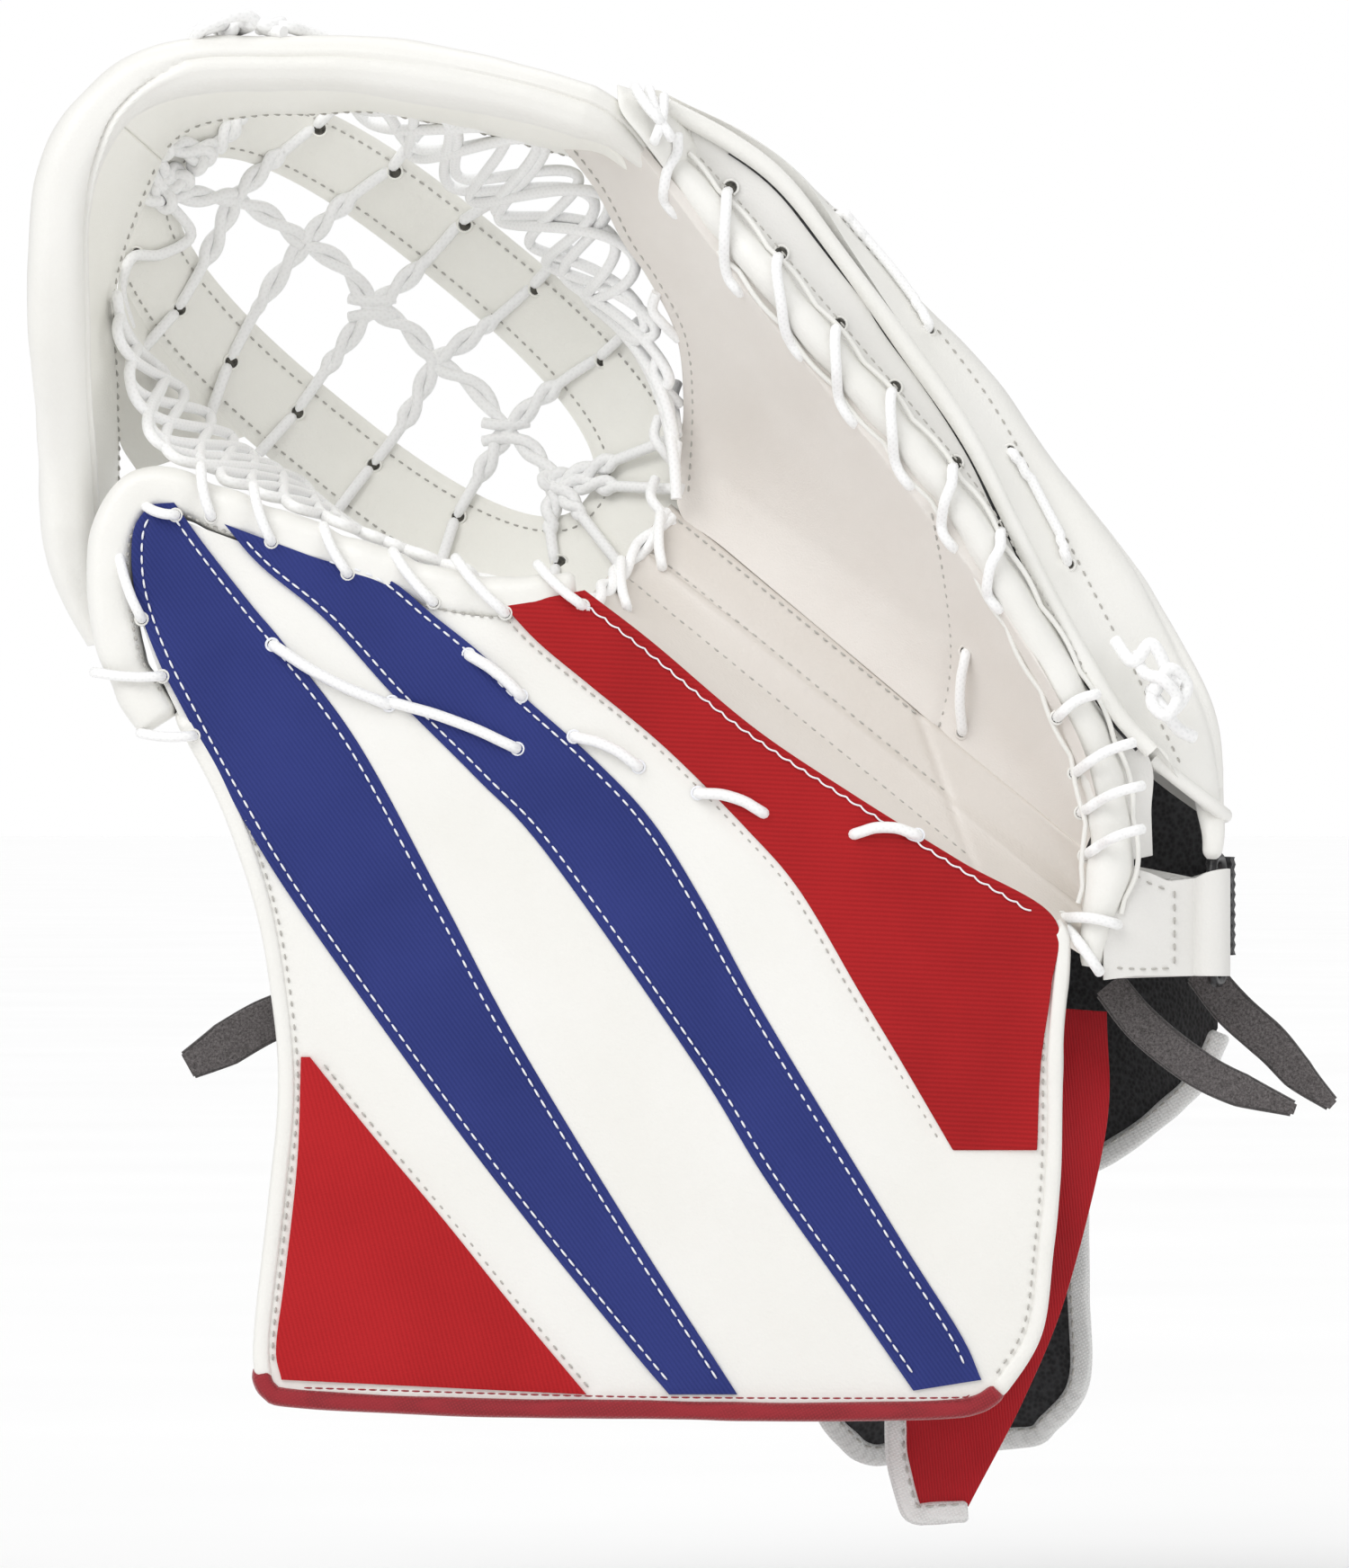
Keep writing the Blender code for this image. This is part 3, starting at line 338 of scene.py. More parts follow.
def bumps(material, shader, layers):
    """A chain of Bump nodes; each layer is (height socket, distance in metres, strength)."""
    before = None
    for height, distance, strength in layers:
        bump = node(material, "ShaderNodeBump", Strength=strength, Distance=distance)
        link(material, height, bump.inputs["Height"])
        if before is not None:
            link(material, before, bump.inputs["Normal"])
        before = bump.outputs["Normal"]
    link(material, before, shader.inputs["Normal"])


def noise_node(material, vector, scale, detail=3.0, roughness=0.5):
    """The factor of a Noise texture."""
    made = node(material, "ShaderNodeTexNoise", Scale=scale, Detail=detail, Roughness=roughness)
    link(material, vector, made.inputs["Vector"])
    return made.outputs["Fac"]


def wave_node(material, vector, pitch, direction, distortion, detail=2.0):
    """Fine ribs at a pitch in metres along one axis."""
    wave = node(material, "ShaderNodeTexWave", Scale=0.314 / pitch, Distortion=distortion, Detail=detail)
    wave.bands_direction = direction
    link(material, vector, wave.inputs["Vector"])
    return wave.outputs["Fac"]


def math_node(material, operation, *values):
    """One Math node; each value is a socket or a number."""
    made = node(material, "ShaderNodeMath")
    made.operation = operation
    for k, value in enumerate(values):
        if isinstance(value, float):
            made.inputs[k].default_value = value
        else:
            link(material, value, made.inputs[k])
    return made.outputs["Value"]


def vary_roughness(material, shader, factor, low, high):
    """Roughness that follows a factor between two values."""
    spread = node(material, "ShaderNodeMapRange", To_Min=low, To_Max=high)
    link(material, factor, spread.inputs["Value"])
    link(material, spread.outputs["Result"], shader.inputs["Roughness"])


def leather(name, colour, shade, grain=1300.0, rough=(0.36, 0.5), grain_height=0.00012, coat=0.12):
    """Coated leather: pebble grain, faint creases, cloudy colour and scuffed gloss."""
    material, shader = new_material(name, colour, rough[0], coat=coat)
    vector = coordinates(material)
    cells = node(material, "ShaderNodeTexVoronoi", Scale=grain)
    link(material, vector, cells.inputs["Vector"])
    cloud = noise_node(material, vector, 16.0, 4.0, 0.55)
    crease = noise_node(material, vector, 70.0, 5.0, 0.6)
    tint(material, shader, cloud, shade, colour, 0.25, 0.62)
    vary_roughness(material, shader, noise_node(material, vector, 140.0, 2.0), *rough)
    bumps(material, shader, ((cells.outputs["Distance"], grain_height, 0.5), (crease, 0.0009, 0.28)))
    return material


def ribbed(name, colour, shade, angle, pitch, rough=(0.42, 0.58), height=0.00016):
    """Coated fabric with fine parallel ribs in the x-z plane."""
    material, shader = new_material(name, colour, rough[0], sheen=0.01)
    shader.inputs["Sheen Roughness"].default_value = 0.4
    shader.inputs["Specular IOR Level"].default_value = 0.16
    vector = coordinates(material, rotation=(0.0, angle, 0.0))
    wave = wave_node(material, vector, pitch, "X", 0.4, 1.0)
    cross = wave_node(material, vector, pitch * 0.55, "Z", 0.3)
    cloud = noise_node(material, coordinates(material), 22.0, 3.0)
    mixed = math_node(material, "MULTIPLY_ADD", wave, 0.35, cloud)
    tint(material, shader, mixed, shade, colour, 0.35, 0.9)
    vary_roughness(material, shader, cloud, *rough)
    bumps(material, shader, ((wave, height, 0.55), (cross, height * 0.6, 0.3),
                             (noise_node(material, coordinates(material), 60.0, 4.0), 0.0007, 0.25)))
    return material


def woven(name, colour, shade, pitch, rough=0.75, height=0.0002, sheen=0.3):
    """Plain weave of crossing threads."""
    material, shader = new_material(name, colour, rough, sheen=sheen)
    vector = coordinates(material, rotation=(0.0, 0.5, 0.0))
    warp, weft, depth = (wave_node(material, vector, pitch, way, 0.6, 1.0) for way in "XZY")
    both = math_node(material, "MULTIPLY_ADD", depth, 0.4, math_node(material, "MULTIPLY", warp, weft))
    tint(material, shader, both, shade, colour, 0.0, 0.6)
    bumps(material, shader, ((both, height, 0.6),
                             (noise_node(material, coordinates(material), 90.0, 3.0), 0.0006, 0.2)))
    return material


def braided(name, colour, shade):
    """Round braided lace; the strands cross along the lace's own UV."""
    material, shader = new_material(name, colour, 0.55, sheen=0.25)
    shader.inputs["Sheen Roughness"].default_value = 0.5
    strands = []
    for turn in (6.0, -6.0):
        vector = coordinates(material, scale=(6.0, turn, 1.0), uv=True)
        strands.append(wave_node(material, vector, BRAID_PITCH, "DIAGONAL", 0.15))
    top = math_node(material, "MAXIMUM", *strands)
    tint(material, shader, top, shade, colour, 0.1, 0.7)
    fibre = noise_node(material, coordinates(material), 1800.0, 2.0)
    bumps(material, shader, ((top, 0.00014, 0.22), (fibre, 0.0001, 0.15)))
    return material


def speckled(name, colour, dark, light, rough=0.92):
    """Felt: salt-and-pepper fibres."""
    material, shader = new_material(name, colour, rough, sheen=0.4)
    vector = coordinates(material)
    grains = noise_node(material, vector, 1500.0, 4.0, 0.8)
    tint(material, shader, grains, dark, light, 0.36, 0.66)
    bumps(material, shader, ((grains, 0.0004, 0.7), (noise_node(material, vector, 300.0, 3.0), 0.0005, 0.4)))
    return material


def knitted(name, colour, light):
    """Dark knitted lining with small open cells."""
    material, shader = new_material(name, colour, 0.85, sheen=0.35)
    cells = node(material, "ShaderNodeTexVoronoi", Scale=750.0)
    link(material, coordinates(material), cells.inputs["Vector"])
    tint(material, shader, cells.outputs["Distance"], colour, light, 0.25, 0.75)
    bumps(material, shader, ((cells.outputs["Distance"], 0.0004, 0.8),
                             (noise_node(material, coordinates(material), 45.0, 3.0), 0.001, 0.3)))
    return material


def wire_coat(name, colour):
    """Black coated wire with scuffs."""
    material, shader = new_material(name, colour, 0.35, metallic=0.6, coat=0.4)
    scuff = noise_node(material, coordinates(material), 500.0, 4.0, 0.7)
    vary_roughness(material, shader, scuff, 0.25, 0.6)
    tint(material, shader, scuff, colour, (0.06, 0.06, 0.062), 0.5, 0.8)
    bumps(material, shader, ((scuff, 0.00015, 0.4),))
    return material


MATERIALS = {
    "white_leather": leather("white_leather_grain", (0.87, 0.862, 0.828), (0.83, 0.82, 0.775)),
    "break_leather": leather("break_leather_grain", (0.735, 0.695, 0.65), (0.685, 0.64, 0.59), 1100.0,
                             (0.4, 0.55)),
    "tab_leather": leather("tab_leather_grain", (0.80, 0.79, 0.765), (0.75, 0.74, 0.71), 1300.0, (0.4, 0.52)),
    # band leather: partly its own beige tone, partly painted light, its albedo raised above the white
    # leather's to offset the shade in the pocket, on the web band, the crossbar walls and the gusset
    "band_leather_painted_light": leather("band_leather_grain", (0.93, 0.922, 0.87), (0.89, 0.88, 0.82), 1500.0,
                            (0.34, 0.48)),
    "palm_leather": leather("palm_leather_nap", (0.80, 0.765, 0.725), (0.74, 0.695, 0.65), 1900.0,
                            (0.5, 0.64), 0.0001, 0.03),
    "blue_fabric": ribbed("blue_ribbed_fabric", (0.030, 0.043, 0.205), (0.020, 0.031, 0.155), 0.62, 0.0011),
    "red_fabric": ribbed("red_ribbed_fabric", (0.470, 0.014, 0.018), (0.380, 0.009, 0.012), 0.25, 0.0012),
    "red_smooth": ribbed("red_heel_fabric", (0.420, 0.012, 0.015), (0.300, 0.007, 0.009), 1.52, 0.0013),
    "red_satin": ribbed("red_satin", (0.480, 0.012, 0.020), (0.330, 0.007, 0.011), 0.1, 0.0008, (0.28, 0.42)),
    "dark_red_binding": woven("dark_red_binding_tape", (0.33, 0.008, 0.018), (0.22, 0.005, 0.011), 0.0008),
    "white_tape": woven("white_woven_tape", (0.83, 0.83, 0.82), (0.66, 0.66, 0.65), 0.0009),
    "lace": braided("white_braided_lace", (0.95, 0.95, 0.945), (0.88, 0.88, 0.875)),
    "net_lace": braided("net_braided_lace", (0.97, 0.97, 0.965), (0.91, 0.91, 0.905)),
    "thread": braided("white_thread", (0.93, 0.94, 0.97), (0.80, 0.82, 0.88)),
    "grey_thread": braided("grey_thread", (0.50, 0.485, 0.45), (0.34, 0.33, 0.30)),
    "grey_felt": speckled("grey_felt_fibre", (0.07, 0.064, 0.064), (0.03, 0.025, 0.025),
                          (0.16, 0.145, 0.145)),
    # darker felt for the strap edges: painted shade
    "felt_edge": speckled("felt_edge_painted_shade", (0.04, 0.036, 0.036), (0.02, 0.018, 0.018), (0.09, 0.08, 0.08)),
    "black_lining": knitted("black_knit_lining", (0.007, 0.007, 0.008), (0.035, 0.035, 0.038)),
    "foam": speckled("foam_cells", (0.3, 0.3, 0.31), (0.2, 0.2, 0.21), (0.36, 0.36, 0.37)),
    # the dark discs of the lace holes are painted shade, standing in for the shadow inside each hole
    "hole": knitted("lace_hole_painted_shade", (0.03, 0.028, 0.022), (0.09, 0.085, 0.07)),
    "black_metal": wire_coat("black_wire_coat", (0.012, 0.012, 0.013)),
}


# ---------------------------------------------------------------- mesh building
class Soup:
    """Collects tubes, stitches and rings into one mesh with UVs."""

    def __init__(self):
        self.points = []
        self.faces = []
        self.uvs = []
        self.count = 0

    def add_rings(self, rings, steps, closed=False):
        """Rings (n, sides, 3) joined into a tube; steps are the UV lengths of the rings."""
        rings = np.asarray(rings)
        n, sides = rings.shape[:2]
        base = self.count
        self.points.append(rings.reshape(-1, 3))
        self.count += n * sides
        for r in range(n if closed else n - 1):
            s = (r + 1) % n
            for c in range(sides):
                d = (c + 1) % sides
                self.faces.append((base + r * sides + c, base + r * sides + d,
                                   base + s * sides + d, base + s * sides + c))
                v0, v1 = steps[r], steps[r + 1] if r + 1 < len(steps) else steps[r] + 0.1
                self.uvs.extend(((c / sides, v0), ((c + 1) / sides, v0), ((c + 1) / sides, v1),
                                 (c / sides, v1)))
        if not closed:
            for ring in (0, n - 1):
                order = range(sides - 1, -1, -1) if ring == 0 else range(sides)
                self.faces.append(tuple(base + ring * sides + c for c in order))
                self.uvs.extend([(0.5, steps[ring])] * sides)

    def tube(self, path, radius, sides=10, closed=False):
        """A round tube along a path; radius is one number or one for each point."""
        path = np.asarray(path, dtype=float)
        n = len(path)
        if closed:
            ahead = unit(np.roll(path, -1, axis=0) - np.roll(path, 1, axis=0))
        else:
            ahead = unit(np.gradient(path, axis=0))
        radius = np.full(n, radius) if np.isscalar(radius) else np.asarray(radius)
        side = np.cross(ahead[0], (0.13, 0.97, 0.21))
        side = side / np.linalg.norm(side)
        angles = np.linspace(0.0, 2 * math.pi, sides, endpoint=False)
        circle = np.column_stack([np.cos(angles), np.sin(angles)])
        rings = []
        for k in range(n):
            side = side - ahead[k] * np.dot(side, ahead[k])
            side = side / np.linalg.norm(side)
            up = np.cross(ahead[k], side)
            rings.append(path[k] + radius[k] * (circle[:, :1] * side + circle[:, 1:] * up))
        girth = 2 * math.pi * max(float(np.mean(radius)), 0.1)
        self.add_rings(rings, travelled_along(path) / girth, closed)

    def stitches(self, path, pitch=3.3, length=2.3, radius=0.36, normal=FRONT, sink=0.15):
        """A run of thread stitches on a path; each is a small bead that dives in at its ends."""
        path = np.asarray(path, dtype=float)
        total = length_of(path)
        count = max(2, int(total / pitch))
        travelled = travelled_along(path)
        for k in range(count):
            middle = (k + 0.5) * total / count
            places = middle + np.linspace(-0.5, 0.5, 5) * length
            spots = spots_at(places, travelled, path) + np.outer((-sink * 3, 0.15, 0.3, 0.15, -sink * 3),
                                                                 normal)
            self.tube(spots, np.array((0.7, 1.0, 1.05, 1.0, 0.7)) * radius, 6)

    def build(self, name, material, body, slot_name, *nodes):
        """The finished mesh object on its CAD body, with the CAD nodes it stands for hidden; the slot is
        passed on but not used.
        """
        mesh = bpy.data.meshes.new(name)
        mesh.from_pydata((np.vstack(self.points) * MM).tolist(), [], self.faces)
        layer = mesh.uv_layers.new(name="along")
        layer.data.foreach_set("uv", np.array(self.uvs, dtype=np.float32).ravel())
        mesh.shade_smooth()
        mesh.set_sharp_from_angle(angle=math.radians(70))
        return stand_for(finish_object(name, mesh, material, body), slot_name, *nodes)


def finish_object(name, mesh, material, body):
    """The object of a mesh, with its material and the CAD body it rides on."""
    mesh.materials.append(MATERIALS[material])
    obj = bpy.data.objects.new(name, mesh)
    bpy.context.scene.collection.objects.link(obj)
    if body is not None:
        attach(obj, body)
    return obj


def solid(name, points, faces, material, body=None, sharp=42.0, bevel=0.0):
    """A closed mesh from points in millimetres, with outward faces and softened edges."""
    mesh = bpy.data.meshes.new(name)
    mesh.from_pydata((np.asarray(points) * MM).tolist(), [], faces)
    mesh.validate()
    shape = bmesh.new()
    shape.from_mesh(mesh)
    bmesh.ops.recalc_face_normals(shape, faces=shape.faces)
    shape.to_mesh(mesh)
    shape.free()
    mesh.shade_smooth()
    mesh.set_sharp_from_angle(angle=math.radians(sharp))
    obj = finish_object(name, mesh, material, body)
    if bevel > 0:
        soften(obj, bevel, 50)
    return obj


def soften(obj, width, angle):
    """Bevels the sharp edges of a piece."""
    edge = obj.modifiers.new("soft_edges", "BEVEL")
    edge.width = width * MM
    edge.segments = 2
    edge.limit_method = "ANGLE"
    edge.angle_limit = math.radians(angle)


def slab(name, front, back, material, body=None, bevel=0.0):
    """A closed sheet between two grids of the same size."""
    rows, columns = front.shape[:2]
    points = np.vstack([front.reshape(-1, 3), back.reshape(-1, 3)])
    shift = rows * columns
    faces = []
    for r in range(rows - 1):
        for c in range(columns - 1):
            a = r * columns + c
            faces.append((a, a + 1, a + columns + 1, a + columns))
            faces.append((shift + a, shift + a + columns, shift + a + columns + 1, shift + a + 1))
    rim = list(range(columns))
    rim += [r * columns + columns - 1 for r in range(1, rows)]
    rim += [(rows - 1) * columns + c for c in range(columns - 2, -1, -1)]
    rim += [r * columns for r in range(rows - 2, 0, -1)]
    for k, a in enumerate(rim):
        b = rim[(k + 1) % len(rim)]
        faces.append((a, b, shift + b, shift + a))
    return solid(name, points, faces, material, body, bevel=bevel)


def loft(name, rings, material, body=None, closed=False, sharp=42.0):
    """A closed solid through rings of points, capped or joined end to end."""
    rings = np.asarray(rings)
    count, sides = rings.shape[:2]
    faces = []
    for r in range(count if closed else count - 1):
        following = (r + 1) % count
        for c in range(sides):
            d = (c + 1) % sides
            faces.append((r * sides + c, r * sides + d, following * sides + d, following * sides + c))
    if not closed:
        faces.append(tuple(range(sides)))
        faces.append(tuple((count - 1) * sides + c for c in range(sides)))
    return solid(name, rings.reshape(-1, 3), faces, material, body, sharp)


def stand_for(obj, slot_name, *nodes):
    """Hides the CAD nodes that a piece stands for; slot_name, the slot of its finish, is not used."""
    if nodes:
        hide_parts(*nodes)
    return obj


def oval_rings(route, half_width, half_depth, sides=24, ends=0.0, squareness=1.0, side=None):
    """Oval sections along a route, wide in the x-z plane and deep along Y, drawn in at both ends."""
    side = outward(route) if side is None else side
    n = len(route)
    half_width, half_depth = np.broadcast_to(half_width, n), np.broadcast_to(half_depth, n)
    angles = np.linspace(0.0, 2 * math.pi, sides, endpoint=False)
    c, s = rounded(np.cos(angles), squareness), rounded(np.sin(angles), squareness)
    rings = []
    for k in range(n):
        near = min(k, n - 1 - k)
        scale = 1.0 - ends * max(0.0, 1.0 - near / 3.0) ** 2
        rings.append(route[k] + scale * (half_width[k] * c[:, None] * side[k]
                                         + half_depth[k] * s[:, None] * BACK))
    return np.array(rings)


def crumple(rings, size, height, seed=0.0):
    """Moves ring points in and out along their own radius by smooth noise."""
    centre = rings.mean(axis=1, keepdims=True)
    return rings + unit(rings - centre) * wrinkle(rings, size, height, seed)[..., None]


def dented(rings, flat, whips, depth, width):
    """Rings of a roll, narrower where each whipped lace pulls it in."""
    middles = np.array([0.5 * (np.array(a) + np.array(b)) for a, b in whips])
    near = np.min(np.linalg.norm(flat[:, None, :] - middles[None, :, :], axis=2), axis=1)
    centre = rings.mean(axis=1, keepdims=True)
    return centre + (rings - centre) * (1.0 - depth * bell(near, width))[:, None, None]


def pillow(shape, power=4):
    """1 in the middle of a grid and 0 at its border."""
    u = np.linspace(-1.0, 1.0, shape[0])[:, None]
    v = np.linspace(-1.0, 1.0, shape[1])[None, :]
    return (1 - u ** power) * (1 - v ** power)


def hold(points, normal, radius, soups):
    """An oval eyelet with a soft lip, added to the (holes, lips) pair of soups; its dark disc is painted
    shade of the hole.
    """
    holes, lips = soups
    across = unit(np.cross(normal, (0.31, 0.2, 0.93)))
    up = np.cross(normal, across)
    angles = np.linspace(0.0, 2 * math.pi, 17)[:-1]
    ring = np.outer(np.cos(angles), across) + np.outer(np.sin(angles), up)
    layers = [points + ring * radius * s + normal * h for s, h in ((0.95, -0.5), (0.8, 0.12), (0.3, 0.05))]
    holes.add_rings(np.array(layers), np.linspace(0.0, 1.0, 3))
    lips.tube(points + ring * (radius + 0.25) + normal * 0.05, 0.35, 6, closed=True)


def build_eyelets(name, soups, body, finish, slot_name):
    """The holes, dark discs of painted shade, and the lips of a row of eyelets."""
    holes, lips = soups
    holes.build(name + "s", "hole", body, "lace")
    lips.build(name + "_lips", finish, body, slot_name)


def whip(soup, start, stop, normal=FRONT, rise=2.6, bow=0.0, sink=1.6, radius=LACE * 0.84):
    """A lace that comes out at start, lies over the work and dives in at stop."""
    start, stop = np.asarray(start, dtype=float), np.asarray(stop, dtype=float)
    side = unit(np.cross(unit(stop - start), normal))
    points = []
    for share, height in ((0.0, -sink), (0.02, 0.35 * rise), (0.14, 0.8 * rise), (0.35, rise), (0.65, rise),
                          (0.86, 0.8 * rise), (0.98, 0.35 * rise), (1.0, -sink)):
        spot = start + (stop - start) * share
        points.append(spot + normal * height + side * bow * math.sin(math.pi * share) ** 1.2)
    soup.tube(smooth(points, 26), radius)


def twisted(soup, route, turns=None, radius=1.62, normal=FRONT, phase=0.0, until=1.0):
    """Two strands that wind round each other along a route and run on as one past a share of it."""
    total = length_of(route)
    turns = total / 17.0 if turns is None else turns
    line = smooth(route, max(20, int(total / 0.9)))
    ahead = unit(np.gradient(line, axis=0))
    across = unit(np.cross(ahead, normal))
    up = np.cross(across, ahead)
    share = np.linspace(0.0, 1.0, len(line))
    angle = phase + 2 * math.pi * turns * np.minimum(share, until) / until
    close = 0.0 if until < 1.0 else 0.6
    spread = np.interp(share, (0.0, 0.16 * until, 0.84 * until, until), (0.6, 1.0, 1.0, close))[:, None]
    for half, stop in ((0.0, len(line)), (math.pi, min(len(line), int(until * len(line)) + 2))):
        offset = np.cos(angle + half)[:, None] * across * 1.55 + np.sin(angle + half)[:, None] * up * 1.0
        soup.tube((line + offset * spread)[:stop], radius)


# ---------------------------------------------------------------- cuff board
CUFF_GRID = coons(CUFF_LEFT, CUFF_RIGHT, CUFF_TOP, CUFF_BOTTOM, 200, 180)


def seam_inside(side_a, side_b, inset, count=240, trim=4):
    """A seam line beside side_a, at a distance towards side_b."""
    first, second = smooth(side_a, count), smooth(side_b, count)
    gap = second - first
    width = np.linalg.norm(gap, axis=1, keepdims=True)
    return (first + gap / np.maximum(width, 1e-6) * np.minimum(inset, 0.42 * width))[trim:-trim]


STRIPE_SEAMS = [seam_inside(near, far, 2.9) for pair in (STRIPE_OUTER, STRIPE_INNER)
                for near, far in (pair, pair[::-1])]
HEEL_TOP_SEAM = seam_inside(HEEL_PANEL[1][:6], HEEL_PANEL[0][:6], 4.0)
HEEL_EDGE_SEAM = seam_inside(HEEL_PANEL[0], HEEL_PANEL[1], -2.2)
CORNER_SEAM = seam_inside(CORNER_PANEL[1], CORNER_PANEL[0], -2.3)


def board_lift(x, z):
    """How proud the face of the board stands: padded fields between sunken seams."""
    flat = np.stack([x, z], axis=-1)
    lift = 0.9 * pillow(x.shape, 6)
    for seam in (*STRIPE_SEAMS, HEEL_EDGE_SEAM, CORNER_SEAM):
        lift = lift - 0.55 * bell(distance_to(flat, seam[::4]), 2.4)
    return lift


def board_waves(x, z):
    """Slow waves of the board's face, shared by the pieces sewn on it."""
    return wrinkle(grid_of(x, 0 * x, z), 34.0, 0.5)


def build_board():
    """Face, padding and lining of the board that covers wrist and thumb."""
    x, z = CUFF_GRID[..., 0], CUFF_GRID[..., 1]
    lift = board_lift(x, z) + board_waves(x, z)
    front = grid_of(x, cuff_depth(x, z) - lift, z)
    back = grid_of(x, cuff_depth(x, z) + 1.6, z)
    face = slab("board_face", front, back, "white_leather", "thumb", bevel=0.6)
    stand_for(face, "white_leather", "cuff_face")
    coarse = coons(CUFF_LEFT, CUFF_RIGHT, CUFF_TOP, CUFF_BOTTOM, 60, 50)
    x, z = coarse[..., 0], coarse[..., 1]
    front = grid_of(x, cuff_depth(x, z) + 1.7, z)
    back = grid_of(x, cuff_depth(x, z) + 14.6, z)
    core = slab("board_padding", front, back, "foam", "thumb", bevel=1.2)
    stand_for(core, "foam", "cuff_foam", "cuff_stiffener")
    quilting = 0.9 * np.abs(np.sin(x / 9.0 + z / 12.0) * np.sin(x / 12.0 - z / 9.0)) ** 0.6
    front = grid_of(x, cuff_depth(x, z) + 14.7, z)
    back = grid_of(x, cuff_depth(x, z) + 16.0 + quilting * pillow(x.shape), z)
    lining = slab("board_lining", front, back, "black_lining", "thumb", bevel=0.5)
    stand_for(lining, "black_lining", "cuff_back")


def applique(name, sides, along, across, material, node_name, seams, slot_name, height=1.2):
    """A fabric piece sewn on the face, sunk along its own seams."""
    grid = ruled(*sides, along, across)
    x, z = grid[..., 0], grid[..., 1]
    lift = height + 0.35 * pillow(x.shape, 6) + board_waves(x, z)
    for seam in seams:
        lift = lift - 0.42 * bell(distance_to(grid, seam[::3]), 0.9)
    front = grid_of(x, cuff_depth(x, z) - lift, z)
    back = grid_of(x, cuff_depth(x, z) + 0.6, z)
    stand_for(slab(name, front, back, material, "thumb", bevel=0.45), slot_name, node_name)


def build_panels():
    """The two blue stripes, the red heel panel and the red corner."""
    applique("stripe_outer_fabric", STRIPE_OUTER, 300, 34, "blue_fabric", "stripe_outer", STRIPE_SEAMS[:2],
             "blue_fabric")
    applique("stripe_inner_fabric", STRIPE_INNER, 300, 34, "blue_fabric", "stripe_inner", STRIPE_SEAMS[2:],
             "blue_fabric")
    applique("heel_panel_fabric", HEEL_PANEL, 200, 50, "red_smooth", "heel_panel", (HEEL_TOP_SEAM,),
             "red_fabric", 1.35)
    applique("corner_panel_fabric", CORNER_PANEL, 110, 76, "red_fabric", "corner_panel", (), "red_fabric",
             1.15)


def scallops(soup, path, pitch=3.4, height=0.9, radius=0.36, normal=FRONT):
    """Thread that runs in small arcs along a path of (x, y, z) points."""
    total = length_of(path)
    count = int(total / 0.42)
    line = smooth(path, count)
    side = np.cross(unit(np.gradient(line, axis=0)), normal)
    phase = np.linspace(0.0, math.pi * max(1, round(total / pitch)), count)
    arc = np.abs(np.sin(phase))
    soup.tube(line + side * (arc * height)[:, None] + normal * (arc * 0.35)[:, None], radius, 6)


def build_board_stitches():
    """All thread on the board: dashed rows, the arcs on the heel panel and the rows in the bindings."""
    white, grey = Soup(), Soup()
    for seam in STRIPE_SEAMS:
        white.stitches(on_cuff(seam, 1.3), 3.4, 2.4, 0.3)
    scallops(white, on_cuff(HEEL_TOP_SEAM, 1.7), 4.6, 0.6, 0.26)
    grey.stitches(on_cuff(HEEL_EDGE_SEAM, 0.2), 3.1, 1.7, 0.26)
    grey.stitches(on_cuff(CORNER_SEAM, 0.25), 3.3, 1.8, 0.28)
    for edge, sign in ((CUFF_LEFT[5:], 1.0), (CUFF_RIGHT[1:], -1.0)):
        line = smooth(edge, 160)
        grey.stitches(on_cuff((line + sign * 3.6 * left_of(line))[6:-6], 0.6), 3.3, 1.5, 0.28)
    white.build("board_stitching_white", "thread", "thumb", "lace")
    grey.build("board_stitching_grey", "grey_thread", "thumb", "lace")


def tape_rings(route, inner, outer, sides=28, swell=0.0):
    """Folded tape round the board's edge: a rounded section from front to back."""
    side = outward(route)
    middle, half = 0.5 * (outer + inner), 0.5 * (outer - inner)
    centre = route + side * middle + np.array([0.0, CUFF_DEPTH / 2, 0.0])
    return oval_rings(centre, half, CUFF_DEPTH / 2 + 1.5 + swell, sides, 0.35, 0.42, side)


def build_bindings():
    """White tapes on the board's free sides and the dark red hem."""
    left = on_cuff(smooth(CUFF_LEFT[4:], 130), 0.0)
    rings = crumple(tape_rings(left, 3.1, -2.0), 16.0, 0.35)
    stand_for(loft("board_binding_left", rings, "white_leather", "thumb"), "white_tape", "cuff_binding_left")
    right = on_cuff(smooth(CUFF_RIGHT, 110), 0.0)
    rings = crumple(tape_rings(right, -3.0, 2.0), 14.0, 0.4, 3.0)
    stand_for(loft("board_binding_right", rings, "white_leather", "thumb"), "white_tape",
              "cuff_binding_right")
    hem = on_cuff(smooth(((-179, -191), (-176, -197.5), (-167, -200), (-120, -202.3), (-75, -202.8),
                          (-30, -203.6), (10, -203), (22, -201.5), (29, -197)), 210), 0.0)
    rings = crumple(tape_rings(hem, 3.6, -2.2, 28, 0.5), 15.0, 0.45, 5.0)
    stand_for(loft("board_hem", rings, "dark_red_binding", "thumb"), "dark_red_binding", "cuff_hem")
    row = Soup()
    line = smooth(((-166, -196.2), (-75, -198.6), (10, -199), (20, -198)), 160)
    row.stitches(on_cuff(line, 2.1), 3.0, 2.0, 0.26)
    row.build("hem_stitching", "dark_red_binding", "thumb", "dark_red_binding")


